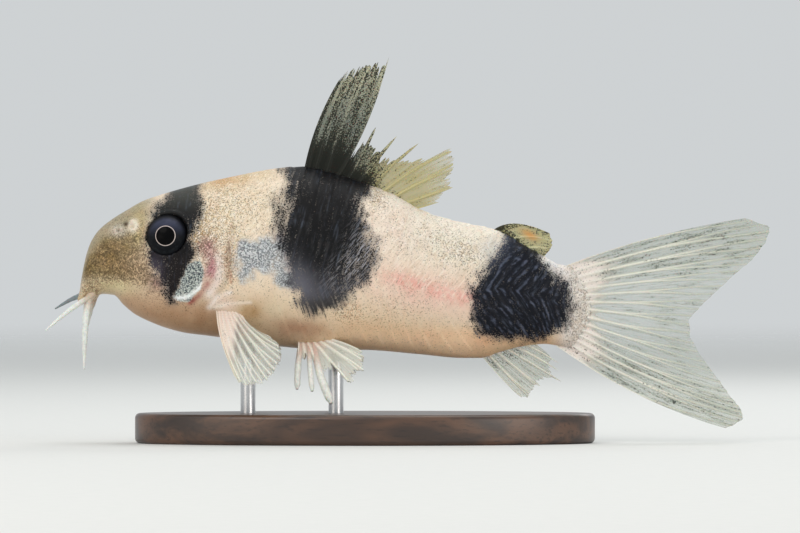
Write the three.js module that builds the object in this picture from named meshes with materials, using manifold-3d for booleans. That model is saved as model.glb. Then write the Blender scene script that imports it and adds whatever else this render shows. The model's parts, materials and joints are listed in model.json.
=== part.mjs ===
// A two-saddle corydoras catfish, life size, held over an oval base by two short rods.
// Units are millimetres, +Z up. The fish looks along -X and its left side faces -Y.
// Inside the group, x runs back from the snout's tip and z is the height over a datum line under the tail.
import * as THREE from "three";
import { mergeVertices } from "three/addons/utils/BufferGeometryUtils.js";
import Module from "manifold-3d";

const wasm = await Module();
wasm.setup();

// Driving dimensions
const TAIL_BASE_X = 49.8; // standard length, from the snout to the root of the caudal fin
const TAIL_TIP_X = 69.1;
const BARBEL_TIP_X = -3.2;
const DATUM_LIFT = 0.7; // height of the datum line over the floor
const GAP = 0.3; // clearance between neighbouring nodes
const TAIL_CUT_X = 38.5; // where the trunk ends and the tail begins

const PLATE_START_X = 17.5;
const PLATE_PITCH = 1.5;
const PLATE_RISE = 0.24; // how far a plate's hind edge stands over the next plate
const PLATE_EDGE = 0.14; // length of the drop behind that edge
const CHEVRON = 2.5; // how far a plate's ends lie behind its middle
const LATERAL_GROOVE = 0.2;

const EYE_X = 8.75;
const EYE_Z = 20.15;
const EYE_RADIUS = 2.3;
const EYE_SUNK = 1.2; // how deep the eyeball's centre lies under the skin
const LID_WIDTH = 0.26;

const FIN_THICKNESS = 0.5;
const RAY_THICKNESS = 0.85;
const FIN_TIP_THICKNESS = 0.3;
const ROOT_SINK = 0.9; // how far a fin's root starts under the skin, before the gap is cut

const BARBEL_ROOT_RADIUS = 0.34;
const BARBEL_TIP_RADIUS = 0.1;

const BASE_LENGTH = 46;
const BASE_WIDTH = 22;
const BASE_THICKNESS = 3;
const BASE_BEVEL = 0.5;
const BASE_CENTRE_X = 28.5;
const ROD_RADIUS = 0.75;
const ROD_FRONT_X = 16.8;
const ROD_REAR_X = 25.6;

// A smooth curve through (place, value) pairs that never overshoots them.
function through(pairs) {
  const xs = pairs.map((p) => p[0]);
  const ys = pairs.map((p) => p[1]);
  const rise = (i) => (ys[i + 1] - ys[i]) / (xs[i + 1] - xs[i]);
  const slope = xs.map((_, i) => {
    if (i === 0) return rise(0);
    if (i === xs.length - 1) return rise(i - 1);
    const before = rise(i - 1);
    const after = rise(i);
    return before * after <= 0 ? 0 : (2 * before * after) / (before + after);
  });
  return (x) => {
    if (x <= xs[0]) return ys[0];
    if (x >= xs.at(-1)) return ys.at(-1);
    const i = xs.findIndex((v) => v > x) - 1;
    const width = xs[i + 1] - xs[i];
    const t = (x - xs[i]) / width;
    const hermite = THREE.MathUtils.lerp(ys[i], ys[i + 1], t * t * (3 - 2 * t));
    return hermite + width * (t * (1 - t) ** 2 * slope[i] - t * t * (1 - t) * slope[i + 1]);
  };
}

// The body's outline from the side and its half width, along x
const back = through([
  [0, 15.3], [0.3, 16.6], [0.7, 18.3], [1.2, 19.6], [2, 20.7], [3.4, 21.8], [4.7, 22.6], [6.3, 23.5],
  [8, 24.1], [10, 24.7], [12.1, 25.25], [14.1, 25.7], [16, 26.1], [18, 26.5], [20, 26.8], [22.2, 26.9],
  [25.5, 26.2], [28.6, 25.2], [31.4, 24.1], [33.7, 22.8], [35.7, 22], [38.4, 21.3], [40.9, 20.8],
  [42.5, 20.2], [44.5, 19], [46.5, 17.9], [48, 17.1], [51, 16.9],
]);
const belly = through([
  [0, 13.8], [0.5, 13.5], [1.2, 13.7], [2.3, 14.2], [3.4, 14.1], [4.4, 13.1], [5.5, 12.2], [7.1, 11.4],
  [8.7, 10.8], [10.7, 10.3], [12.7, 10.05], [16, 9.6], [20.5, 8.9], [24, 8.65], [28.6, 8.6], [33.7, 8.2],
  [38.4, 7.8], [40, 7.8], [42, 8.4], [44.1, 8.95], [46.5, 9.2], [48, 9.0], [51, 8.6],
]);
const halfWidth = through([
  [0, 1.5], [0.3, 2.0], [0.7, 2.5], [1.2, 2.9], [2, 3.3], [3.4, 3.85], [5, 4.4], [7, 4.95], [9, 5.4],
  [12, 6.0], [15, 6.45], [18, 6.5], [22, 6.3], [26, 5.85], [30, 5.2], [34, 4.4], [38, 3.6], [42, 2.85],
  [46, 2.2], [49, 1.7], [51, 1.45],
]);
const waist = through([[0, 0.45], [6, 0.42], [14, 0.4], [26, 0.4], [38, 0.46], [46, 0.5], [51, 0.5]]);
// Exponents of the section: over 1 draws it in to a ridge, under 1 fills it out
const upperFull = through([[0, 0.85], [10, 0.8], [16, 1.0], [22, 1.25], [34, 1.15], [46, 1.0]]);
const lowerFull = through([[0, 0.8], [10, 0.7], [22, 0.75], [34, 0.85], [44, 1.0]]);

// A point of the skin at station x and angle a round the section, swollen by extra
function skin(x, a, extra = 0) {
  const top = back(x) + extra;
  const bottom = belly(x) - extra;
  const middle = bottom + (top - bottom) * waist(x);
  const c = Math.cos(a);
  const s = Math.sin(a);
  const full = s > 0 ? upperFull(x) : lowerFull(x);
  const y = (halfWidth(x) + extra) * Math.sign(c) * Math.abs(c) ** full;
  const reach = s > 0 ? top - middle : middle - bottom;
  const z = middle + reach * Math.sign(s) * Math.abs(s) ** Math.min(1, full + 0.1);
  return new THREE.Vector3(x, y, z);
}

// The skin's half width at station x and height z
function skinY(x, z) {
  const middle = belly(x) + (back(x) - belly(x)) * waist(x);
  const reach = z > middle ? back(x) - middle : middle - belly(x);
  const full = z > middle ? upperFull(x) : lowerFull(x);
  const s = Math.min(1, Math.abs(z - middle) / reach) ** (1 / Math.min(1, full + 0.1));
  return halfWidth(x) * Math.sqrt(1 - s * s) ** full;
}

// Turns a closed geometry into a solid whose faces point out
function solid(geometry) {
  const bare = new THREE.BufferGeometry().setAttribute("position", geometry.getAttribute("position"));
  if (geometry.index) bare.setIndex(geometry.index);
  const merged = mergeVertices(bare, 1e-4);
  const build = (triVerts) =>
    new wasm.Manifold(
      new wasm.Mesh({ numProp: 3, vertProperties: merged.attributes.position.array, triVerts }),
    );
  const made = build(new Uint32Array(merged.index.array));
  if (made.volume() > 0) return made;
  return build(new Uint32Array(merged.index.array).reverse());
}

// A solid's vertices and triangles as a geometry
function geometryOf(made) {
  const mesh = made.getMesh();
  const points = new Float32Array(mesh.numVert * 3);
  for (let i = 0; i < mesh.numVert; i += 1)
    points.set(mesh.vertProperties.subarray(i * mesh.numProp, i * mesh.numProp + 3), i * 3);
  const geometry = new THREE.BufferGeometry().setAttribute("position", new THREE.BufferAttribute(points, 3));
  geometry.setIndex(new THREE.BufferAttribute(mesh.triVerts, 1));
  geometry.computeVertexNormals();
  return geometry;
}

// The largest closed body of a solid, without the scraps that a cut leaves
function largest(made) {
  return made.decompose().reduce((a, b) => (b.volume() > a.volume() ? b : a));
}

// A closed surface through rings of equally many points, with a fan at each end
function loft(rings) {
  const count = rings[0].length;
  const points = rings.flat();
  const ends = [rings[0], rings.at(-1)].map((ring) =>
    ring.reduce((sum, p) => sum.add(p), new THREE.Vector3()).divideScalar(count),
  );
  const faces = [];
  for (let r = 0; r < rings.length - 1; r += 1)
    for (let k = 0; k < count; k += 1) {
      const a = r * count + k;
      const b = r * count + ((k + 1) % count);
      faces.push(a, b, b + count, a, b + count, a + count);
    }
  const last = (rings.length - 1) * count;
  for (let k = 0; k < count; k += 1) {
    const next = (k + 1) % count;
    faces.push(points.length, next, k, points.length + 1, last + k, last + next);
  }
  const geometry = new THREE.BufferGeometry().setFromPoints([...points, ...ends]);
  geometry.setIndex(faces);
  return solid(geometry);
}

// A round rod along a curve, its radius going from one value to another
function tube(curve, rootRadius, tipRadius, steps, sides) {
  const frames = curve.computeFrenetFrames(steps, false);
  const rings = [];
  for (let i = 0; i <= steps; i += 1) {
    const t = i / steps;
    const centre = curve.getPointAt(t);
    const radius = THREE.MathUtils.lerp(rootRadius, tipRadius, t);
    rings.push(
      Array.from({ length: sides }, (_, k) => {
        const a = (2 * Math.PI * k) / sides;
        return centre
          .clone()
          .addScaledVector(frames.normals[i], radius * Math.cos(a))
          .addScaledVector(frames.binormals[i], radius * Math.sin(a));
      }),
    );
  }
  return loft(rings);
}

// A plate across the whole fish, cut from an outline in the x-z plane
function slab(outline) {
  const depth = 40;
  const shape = new THREE.Shape(outline.map(([x, z]) => new THREE.Vector2(x, z)));
  const geometry = new THREE.ExtrudeGeometry(shape, { depth, bevelEnabled: false });
  geometry.rotateX(Math.PI / 2).translate(0, depth / 2, 0);
  return solid(geometry);
}

// The gill opening's edge on the flank, from the nape down to the throat
const GILL_POINTS = [
  [16.2, 32], [15.7, 27.6], [15.2, 23.6], [15.1, 18.9], [14.6, 15.9],
  [13.2, 13.6], [11.7, 12], [10.7, 9.6], [10.3, 5],
];
const GILL_EDGE = new THREE.SplineCurve(GILL_POINTS.map(([x, z]) => new THREE.Vector2(x, z)))
  .getPoints(20)
  .map((p) => [p.x, p.y]);
const GILL_SHIFT = 1.4 * GAP; // keeps the gap where the edge slants
const gillX = through([...GILL_EDGE].reverse().map(([x, z]) => [z, x]));

const SECTION_SIDES = 34;
const angles = Array.from({ length: SECTION_SIDES }, (_, k) => (2 * Math.PI * (k + 0.5)) / SECTION_SIDES);

// The head's skin: the gill cover swells towards its hind edge
function headSkin(extra = 0) {
  const stations = [0, 0.12, 0.3, 0.5, 0.75, 1.1, 1.6, 2.2, 2.8, 3.4];
  for (let x = 4.3; x < 18; x += 1) stations.push(x);
  const tips = [0.55, 0.85, 1];
  const rings = stations.map((x, i) =>
    angles.map((a) => {
      const plain = skin(x, a, extra);
      const cover = THREE.MathUtils.smoothstep(x, gillX(plain.z) - 6, gillX(plain.z));
      const flank = 1 - THREE.MathUtils.smoothstep(plain.z, 20, 23);
      const p = skin(x, a, extra + 0.4 * cover * flank);
      if (i < tips.length) {
        const middle = (back(x) + belly(x)) / 2;
        p.y *= tips[i];
        p.z = middle + (p.z - middle) * tips[i];
      }
      p.x -= x < 1 ? extra : 0;
      return p;
    }),
  );
  return loft(rings);
}

// The skin behind the head: two rows of bony plates a side, each overlapping the next one back
function platedSkin(extra = 0) {
  const stations = [];
  for (let x = 9; x < PLATE_START_X; x += 1.4) stations.push([x, 0]);
  for (let x = PLATE_START_X; x < TAIL_BASE_X - PLATE_PITCH / 2; x += PLATE_PITCH)
    stations.push([x, 0], [x + PLATE_PITCH - PLATE_EDGE, 1]);
  const lastPlate = stations.at(-1)[0];
  stations.push([lastPlate + PLATE_EDGE, 0], [lastPlate + 0.5, 0]);
  const ends = new Map([[stations.length - 1, 0.62]]);
  const rings = stations.map(([x, crest], i) =>
    angles.map((a) => {
      const slant = Math.abs(Math.sin(a) - 0.08);
      const bend = THREE.MathUtils.smoothstep(x, 9, 20);
      const behind = CHEVRON * bend * (1 - 0.85 * THREE.MathUtils.smoothstep(x, 43, 49.5));
      const place = Math.min(x + behind * slant, TAIL_BASE_X + 0.6);
      const onPlate = 1 - THREE.MathUtils.smoothstep(-Math.sin(a), 0.86, 0.98);
      const rise = PLATE_RISE * crest * onPlate;
      const groove = x > PLATE_START_X ? LATERAL_GROOVE * Math.exp(-((slant / 0.09) ** 2)) : 0;
      const p = skin(place, a, extra + rise - groove);
      const shrink = ends.get(i) ?? 1;
      const middle = (back(place) + belly(place)) / 2;
      p.y *= shrink;
      p.z = middle + (p.z - middle) * shrink;
      return p;
    }),
  );
  return loft(rings);
}

// Space that a fin has to keep out of
const clearOfBody = headSkin(GAP).add(platedSkin(GAP));

// The lips and the slit between them run in a U round the underside of the snout
const UPPER_LIP = { y: 2.1, front: 0.15, end: 2.5, z: 13.75, radius: 0.5 };
const LOWER_LIP = { y: 1.8, front: 1.3, end: 3.1, z: 13.55, radius: 0.42 };
const MOUTH_SLIT = { y: 1.95, front: 0.75, end: 2.85, z: 13.3, radius: 0.22 };

function mouthTube({ y, front, end, z, radius }, extra = 0) {
  const halfway = (front + end) / 2;
  const line = new THREE.CatmullRomCurve3([
    new THREE.Vector3(end, -y, z + 0.1),
    new THREE.Vector3(halfway, -0.85 * y, z),
    new THREE.Vector3(front, 0, z - 0.1),
    new THREE.Vector3(halfway, 0.85 * y, z),
    new THREE.Vector3(end, y, z + 0.1),
  ]);
  return tube(line, radius + extra, radius + extra, 12, 7);
}

// Where the eye's axis leaves the skin, and its direction
function eyeAxis(side) {
  const out = new THREE.Vector3(-0.08, side * 0.93, 0.34).normalize();
  const onSkin = new THREE.Vector3(EYE_X, side * skinY(EYE_X, EYE_Z), EYE_Z);
  return { out, centre: onSkin.clone().addScaledVector(out, -EYE_SUNK), onSkin };
}

function ball(centre, radius, around = 20, up = 12) {
  const geometry = new THREE.SphereGeometry(radius, around, up);
  return solid(geometry.rotateX(Math.PI / 2).translate(centre.x, centre.y, centre.z));
}

// A ring lying on the skin, facing out
function ring(centre, out, radius, width, around) {
  const geometry = new THREE.TorusGeometry(radius, width, 6, around);
  geometry.applyQuaternion(new THREE.Quaternion().setFromUnitVectors(new THREE.Vector3(0, 0, 1), out));
  return solid(geometry.translate(centre.x, centre.y, centre.z));
}

const NOSTRILS = [
  { x: 3.9, z: 20.7, radius: 0.34 },
  { x: 5.4, z: 21.1, radius: 0.4 },
];

function nostril({ x, z, radius }, side) {
  const out = new THREE.Vector3(-0.35, side * 0.75, 0.55).normalize();
  const at = new THREE.Vector3(x, side * skinY(x, z), z);
  return {
    rim: ring(at, out, radius, 0.17, 10),
    pit: ball(at.clone().addScaledVector(out, 0.1), radius * 0.8, 8, 6),
  };
}

function buildHead() {
  const outline = [[-6, 32], ...GILL_EDGE, [-6, 5]];
  let made = headSkin().intersect(slab(outline));
  made = made.add(mouthTube(UPPER_LIP)).add(mouthTube(LOWER_LIP)).subtract(mouthTube(MOUTH_SLIT));
  for (const side of [-1, 1]) {
    const { out, centre } = eyeAxis(side);
    const rimRadius = EYE_RADIUS + GAP;
    const rimCentre = centre.clone().addScaledVector(out, EYE_SUNK * 0.95);
    made = made.add(ring(rimCentre, out, rimRadius - LID_WIDTH * 0.4, LID_WIDTH, 24));
    made = made.subtract(ball(centre, rimRadius, 24, 14));
    for (const place of NOSTRILS) {
      const { rim, pit } = nostril(place, side);
      made = made.add(rim).subtract(pit);
    }
    const chin = new THREE.QuadraticBezierCurve3(
      new THREE.Vector3(2.6, side * 0.6, 13.9),
      new THREE.Vector3(2.9, side * 0.75, 13.2),
      new THREE.Vector3(3.2, side * 0.9, 12.4),
    );
    made = made.add(tube(chin, 0.32, 0.12, 4, 6));
  }
  return largest(made);
}

function buildTrunk() {
  const front = GILL_EDGE.map(([x, z]) => [x + GILL_SHIFT, z]);
  return largest(platedSkin().intersect(slab([...front, [TAIL_CUT_X, 5], [TAIL_CUT_X, 32]])));
}

function buildTail() {
  const from = TAIL_CUT_X + GAP;
  return largest(platedSkin().intersect(slab([[from, 32], [from, 2], [60, 2], [60, 32]])));
}

// A fin's ray: a curve from root to tip, bowed sideways by bow at its middle
function ray(root, tip, bow = [0, 0, 0]) {
  const [a, b] = [new THREE.Vector3(...root), new THREE.Vector3(...tip)];
  const middle = a.clone().add(b).multiplyScalar(0.5).addScaledVector(new THREE.Vector3(...bow), 2);
  return new THREE.QuadraticBezierCurve3(a, middle, b);
}

// A fin: rays as ridges in one thin skin. webs[i] says how far out the skin reaches between rays i and i + 1.
function fin({ rays, webs, across, rows = 7, sway = 0, spine = 0 }) {
  const columns = [];
  rays.forEach((curve, i) => {
    const next = rays[i + 1];
    const stout = i === 0 ? 1 + spine : 1;
    columns.push({ at: (t) => curve.getPoint(t), reach: 1, thick: RAY_THICKNESS * stout, share: i });
    if (!next) return;
    for (const share of [0.3, 0.7])
      columns.push({
        at: (t) => curve.getPoint(t).lerp(next.getPoint(t), share),
        reach: webs[i],
        thick: FIN_THICKNESS,
        share: i + share,
      });
  });
  const face = (sign) =>
    columns.map((column) =>
      Array.from({ length: rows }, (_, r) => {
        const t = (r / (rows - 1)) * column.reach;
        const thick = THREE.MathUtils.lerp(column.thick, FIN_TIP_THICKNESS, THREE.MathUtils.smoothstep(t, 0.5, 1));
        const wave = sway * t * t * Math.sin(0.9 * column.share + 0.4);
        return column.at(t).addScaledVector(across, (sign * thick) / 2 + wave);
      }),
    );
  // Each column's two faces make a closed strip of points, so that the fin is a loft of flat rings
  const [near, far] = [face(-1), face(1)];
  const rings = columns.map((_, c) => [...near[c], ...far[c].reverse()]);
  const count = rows * 2;
  const points = rings.flat();
  const faces = [];
  for (let c = 0; c < rings.length - 1; c += 1)
    for (let k = 0; k < count; k += 1) {
      const a = c * count + k;
      const b = c * count + ((k + 1) % count);
      // The same diagonal on both faces keeps them parallel where the fin curves
      if (k < rows - 1) faces.push(a, b, b + count, a, b + count, a + count);
      else faces.push(a, b, a + count, b, b + count, a + count);
    }
  for (const [c, flip] of [[0, false], [rings.length - 1, true]])
    for (let r = 0; r < rows - 1; r += 1) {
      const a = c * count + r;
      const d = c * count + count - 1 - r;
      const quad = [a, d, d - 1, a, d - 1, a + 1];
      faces.push(...(flip ? quad.reverse() : quad));
    }
  const geometry = new THREE.BufferGeometry().setFromPoints(points);
  geometry.setIndex(faces);
  return solid(geometry);
}

const SIDEWAYS = new THREE.Vector3(0, 1, 0);

function buildDorsalFin() {
  const tips = [
    [26, 35.8], [27.6, 37], [29.1, 38], [30.8, 37.9], [29.6, 30.9], [31.7, 30],
    [33.9, 29.3], [37.6, 29], [38, 27.2], [37.4, 24.9], [36, 23.4],
  ];
  const webs = [0.97, 0.94, 0.93, 0.33, 0.62, 0.55, 0.55, 0.93, 0.9, 0.86];
  const bows = [-0.1, -0.05, 0, -0.35, 0, 0.1, 0.15, 0.2, 0.1, 0, 0];
  const rays = tips.map(([x, z], i) => {
    const rootX = 22.6 + 1.02 * i;
    return ray([rootX, 0, back(rootX) - ROOT_SINK], [x, 0, z], [-bows[i], 0, bows[i]]);
  });
  return largest(fin({ rays, webs, across: SIDEWAYS, rows: 7, sway: 0.35, spine: 0.5 }).subtract(clearOfBody));
}

function buildAdiposeFin() {
  const rays = [
    ray([41.3, 0, 19.9], [46.9, 0, 20.3], [-0.3, 0, 0.55]),
    ray([42.6, 0, 19.2], [47.3, 0, 19.5], [0, 0, 0.25]),
    ray([43.8, 0, 18.5], [47.1, 0, 18.9], [0, 0, 0.1]),
    ray([45, 0, 17.9], [46.6, 0, 18.4]),
  ];
  return largest(fin({ rays, webs: [1, 1, 0.98], across: SIDEWAYS, rows: 5, spine: 0.25 }).subtract(clearOfBody));
}

function buildAnalFin() {
  const tips = [[44.2, 3.75], [45.2, 3.8], [46.1, 4.9], [48.2, 5.4], [47.9, 6.5], [48, 7.2], [47, 8]];
  const webs = [0.97, 0.93, 0.8, 0.82, 0.8, 0.85];
  const rays = tips.map(([x, z], i) => {
    const rootX = 39.6 + 0.72 * i;
    return ray([rootX, 0, belly(rootX) + ROOT_SINK], [x, 0, z], [0, 0, 0.1 * i - 0.25]);
  });
  return largest(fin({ rays, webs, across: SIDEWAYS, rows: 5, sway: 0.25, spine: 0.1 }).subtract(clearOfBody));
}

function buildCaudalFin() {
  const tips = [
    [66.6, 21.8], [TAIL_TIP_X, 20.9], [68.6, 19.3], [67.2, 17.6], [65.4, 16.1],
    [63.8, 14.6], [62.2, 13.1], [60.9, 11.6], [61.1, 9.8], [62.2, 7.9],
    [63.7, 5.9], [65.1, 3.9], [66.2, 2.6], [66.3, 1.6], [64.6, 0.75],
  ];
  const last = tips.length - 1;
  const rays = tips.map(([x, z], i) => {
    const share = i / last;
    const rootZ = THREE.MathUtils.lerp(back(TAIL_BASE_X) - 0.35, belly(TAIL_BASE_X) + 0.35, share);
    const rootX = TAIL_BASE_X - 0.9 - 1.4 * (2 * share - 1) ** 4;
    const bow = share < 0.5 ? 0.55 * (1 - 2 * share) : -0.8 * (2 * share - 1);
    return ray([rootX, 0, rootZ], [x, 0, z], [-0.3 * Math.abs(bow), 0, bow]);
  });
  const webs = rays.slice(1).map((_, i) => 0.975 - 0.02 * (i % 2));
  return largest(fin({ rays, webs, across: SIDEWAYS, rows: 6, sway: 0.5, spine: 0.1 }).subtract(clearOfBody));
}

function buildPectoralFin(side) {
  const tips = [
    [15.8, 12, 6.1], [16.3, 12.1, 5.3], [17.3, 11.9, 4.9], [18.4, 11.4, 5.2], [19.3, 10.8, 5.9],
    [20, 10.1, 7], [20.4, 9.5, 8.2], [20.3, 8.9, 9.1], [19.4, 8.2, 9.9],
  ];
  const webs = [0.97, 0.95, 0.94, 0.93, 0.9, 0.93, 0.92, 0.9];
  const rays = tips.map(([x, y, z], i) => {
    const rootX = 13.9 + 0.3 * i;
    const rootZ = 12.7 - 0.04 * i;
    const rootY = skinY(rootX, rootZ) - ROOT_SINK;
    return ray([rootX, side * rootY, rootZ], [x, side * y, z], [-0.45 + 0.06 * i, side * 0.5, 0.25]);
  });
  const across = new THREE.Vector3(-0.35, side * 0.62, 0.7).normalize();
  return largest(fin({ rays, webs, across, rows: 6, sway: 0.25, spine: 0.5 }).subtract(clearOfBody));
}

function buildPelvicFin(side) {
  const tips = [
    [21.9, 5.9, 4.6], [23.3, 6.5, 4.3], [25.3, 7, 3.5], [27.4, 6.9, 4.7],
    [28.6, 6.5, 6.3], [28.9, 5.9, 7.6], [28.4, 5.3, 8.6],
  ];
  const webs = [0.5, 0.45, 0.6, 0.88, 0.9, 0.9];
  const rays = tips.map(([x, y, z], i) => {
    const rootX = 21.9 + 0.36 * i;
    const rootY = skinY(rootX, 9.6) - ROOT_SINK;
    return ray([rootX, side * rootY, 9.9], [x, side * y, z], [0, side * 0.25, 0.15]);
  });
  const across = new THREE.Vector3(-0.2, side * 0.75, 0.6).normalize();
  return largest(fin({ rays, webs, across, rows: 5, sway: 0.2, spine: 0.1 }).subtract(clearOfBody));
}

const BARBELS = {
  upper_left: [[0.9, -2.3, 14.1], [-0.9, -3.6, 12.9], [-3.1, -4.6, 10.6]],
  upper_right: [[0.9, 2.3, 14.1], [-0.8, 3.4, 13.2], [-2.7, 4.2, 12.3]],
  lower_left: [[1.3, -2.0, 13.9], [0.75, -2.9, 10.6], [0.55, -3.1, 6.7]],
  lower_right: [[1.3, 2.0, 13.9], [0.5, 2.8, 11.2], [0.15, 2.9, 8.4]],
};

const clearOfLips = clearOfBody.add(mouthTube(UPPER_LIP, GAP)).add(mouthTube(LOWER_LIP, GAP));

function buildBarbel(points) {
  const curve = new THREE.CatmullRomCurve3(points.map((p) => new THREE.Vector3(...p)));
  return largest(tube(curve, BARBEL_ROOT_RADIUS, BARBEL_TIP_RADIUS, 8, 7).subtract(clearOfLips));
}

function buildBase() {
  const outline = new THREE.Shape();
  const [halfLength, halfDepth] = [BASE_LENGTH / 2 - BASE_BEVEL, BASE_WIDTH / 2 - BASE_BEVEL];
  outline.absellipse(0, 0, halfLength, halfDepth, 0, 2 * Math.PI);
  const geometry = new THREE.ExtrudeGeometry(outline, {
    depth: BASE_THICKNESS - 2 * BASE_BEVEL,
    bevelThickness: BASE_BEVEL,
    bevelSize: BASE_BEVEL,
    bevelSegments: 2,
    curveSegments: 20,
  });
  return solid(geometry.translate(BASE_CENTRE_X, 0, BASE_BEVEL - DATUM_LIFT));
}

function buildRod(x) {
  const foot = BASE_THICKNESS - DATUM_LIFT + GAP;
  const head = belly(x) + 1;
  const geometry = new THREE.CylinderGeometry(ROD_RADIUS, ROD_RADIUS, head - foot, 20);
  geometry.rotateX(Math.PI / 2).translate(x, 0, (head + foot) / 2);
  return largest(solid(geometry).subtract(clearOfBody));
}

const finish = (color, roughness, opacity = 1) =>
  new THREE.MeshStandardMaterial({ color, roughness, metalness: 0, transparent: opacity < 1, opacity });
const SKIN = finish("#d8bfa2", 0.45);
const EYE = finish("#14161c", 0.15);
const DARK_FIN = finish("#3a3c36", 0.5, 0.9);
const CLEAR_FIN = finish("#d9dcc8", 0.4, 0.7);
const BARBEL = finish("#b9b3a6", 0.45);
const WOOD = finish("#3b2a20", 0.4);
const STEEL = new THREE.MeshStandardMaterial({ color: "#b9bcc0", roughness: 0.25, metalness: 1 });

const fish = new THREE.Group();
fish.position.set(-(BARBEL_TIP_X + TAIL_TIP_X) / 2, 0, DATUM_LIFT);

function place(name, made, material) {
  const mesh = new THREE.Mesh(geometryOf(made), material);
  mesh.name = name;
  fish.add(mesh);
}

place("head", buildHead(), SKIN);
place("trunk", buildTrunk(), SKIN);
place("tail", buildTail(), SKIN);
place("dorsal_fin", buildDorsalFin(), DARK_FIN);
place("adipose_fin", buildAdiposeFin(), DARK_FIN);
place("anal_fin", buildAnalFin(), CLEAR_FIN);
place("caudal_fin", buildCaudalFin(), CLEAR_FIN);
for (const [name, side] of [["left", -1], ["right", 1]]) {
  place(`eye_${name}`, ball(eyeAxis(side).centre, EYE_RADIUS), EYE);
  place(`pectoral_fin_${name}`, buildPectoralFin(side), CLEAR_FIN);
  place(`pelvic_fin_${name}`, buildPelvicFin(side), CLEAR_FIN);
}
for (const [name, points] of Object.entries(BARBELS)) place(`barbel_${name}`, buildBarbel(points), BARBEL);
place("stand_base", buildBase(), WOOD);
place("stand_rod_front", buildRod(ROD_FRONT_X), STEEL);
place("stand_rod_rear", buildRod(ROD_REAR_X), STEEL);

export default fish;
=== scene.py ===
# %% [markdown]
# # A two-saddle corydoras, still and life size
# A small armoured catfish from the Amazon, about 50 mm long without its tail fin. This lesson dresses a
# imported CAD model of it: one skin over the whole body, fine fins with branching rays, wet eyes, barbels and
# a plain stand. The CAD solids give the size and the place of everything, so the first step loads them.

# %% Load the fixed frame
import functools
import json
import math

import bmesh
import bpy
import numpy as np
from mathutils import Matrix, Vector

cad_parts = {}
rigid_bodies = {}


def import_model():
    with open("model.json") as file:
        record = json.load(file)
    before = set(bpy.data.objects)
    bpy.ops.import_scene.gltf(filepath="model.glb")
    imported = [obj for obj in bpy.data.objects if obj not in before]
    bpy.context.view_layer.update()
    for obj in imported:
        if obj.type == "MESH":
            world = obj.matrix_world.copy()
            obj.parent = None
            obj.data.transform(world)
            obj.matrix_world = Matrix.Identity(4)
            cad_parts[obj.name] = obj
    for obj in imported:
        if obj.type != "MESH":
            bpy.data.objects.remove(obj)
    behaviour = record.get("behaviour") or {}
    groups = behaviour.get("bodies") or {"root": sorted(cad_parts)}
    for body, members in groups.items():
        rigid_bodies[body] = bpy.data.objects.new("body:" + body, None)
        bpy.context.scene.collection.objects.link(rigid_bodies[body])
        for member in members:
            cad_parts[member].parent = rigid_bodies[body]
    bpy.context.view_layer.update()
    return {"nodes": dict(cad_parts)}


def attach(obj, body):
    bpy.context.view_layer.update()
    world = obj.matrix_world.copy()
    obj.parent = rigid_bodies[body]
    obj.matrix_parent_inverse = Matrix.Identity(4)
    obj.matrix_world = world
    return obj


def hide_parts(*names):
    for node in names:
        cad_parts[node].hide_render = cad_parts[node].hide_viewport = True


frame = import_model()
print("CAD nodes:", len(frame["nodes"]))

# %% [markdown]
# ## One frame of reference
# All sizes below are in millimetres in the fish's own frame: x runs back from the tip of the snout, y is
# negative on the fish's left and z is the height over a line just under the tail fin. One function moves
# such points into the scene, which is in metres and has its origin in the middle of the stand's underside.

# %% Units and colours
MM = 0.001
ORIGIN = np.array([-32.95, 0, 0.7])


def to_scene(points):
    return (np.asarray(points, float) + ORIGIN) * MM


def linear(channel):
    return channel / 12.92 if channel < 0.04045 else ((channel + 0.055) / 1.055) ** 2.4


def colour(code):
    """An sRGB hex colour as linear red, green and blue."""
    return np.array([linear(int(code[i : i + 2], 16) / 255) for i in (1, 3, 5)])


print("fish frame starts at", to_scene([0, 0, 0]))

# %% [markdown]
# ## Smooth steps and smooth curves
# A fish has hardly a straight line in it. The body's outline is a few measured heights with a smooth curve
# through them that never overshoots, the same curve as the solids use, so that the skin lies on them. A
# smooth step blends one form or tone into the next.

# %% Curve helpers


def step(value, start, end):
    t = np.clip((value - start) / (end - start), 0, 1)
    return t * t * (3 - 2 * t)


def mix(a, b, share):
    return a + (b - a) * share


def through(pairs):
    xs, ys = np.array(pairs, float).T
    rise = np.diff(ys) / np.diff(xs)
    before, after = rise[:-1], rise[1:]
    total = np.where(before * after > 0, before + after, 1)
    inner = np.where(before * after > 0, 2 * before * after / total, 0)
    slope = np.concatenate([rise[:1], inner, rise[-1:]])

    def curve(x):
        x = np.clip(x, xs[0], xs[-1])
        i = np.clip(np.searchsorted(xs, x, side="right") - 1, 0, len(xs) - 2)
        width = xs[i + 1] - xs[i]
        t = (x - xs[i]) / width
        bend = width * (t * (1 - t) ** 2 * slope[i] - t * t * (1 - t) * slope[i + 1])
        return mix(ys[i], ys[i + 1], t * t * (3 - 2 * t)) + bend

    return curve


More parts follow.
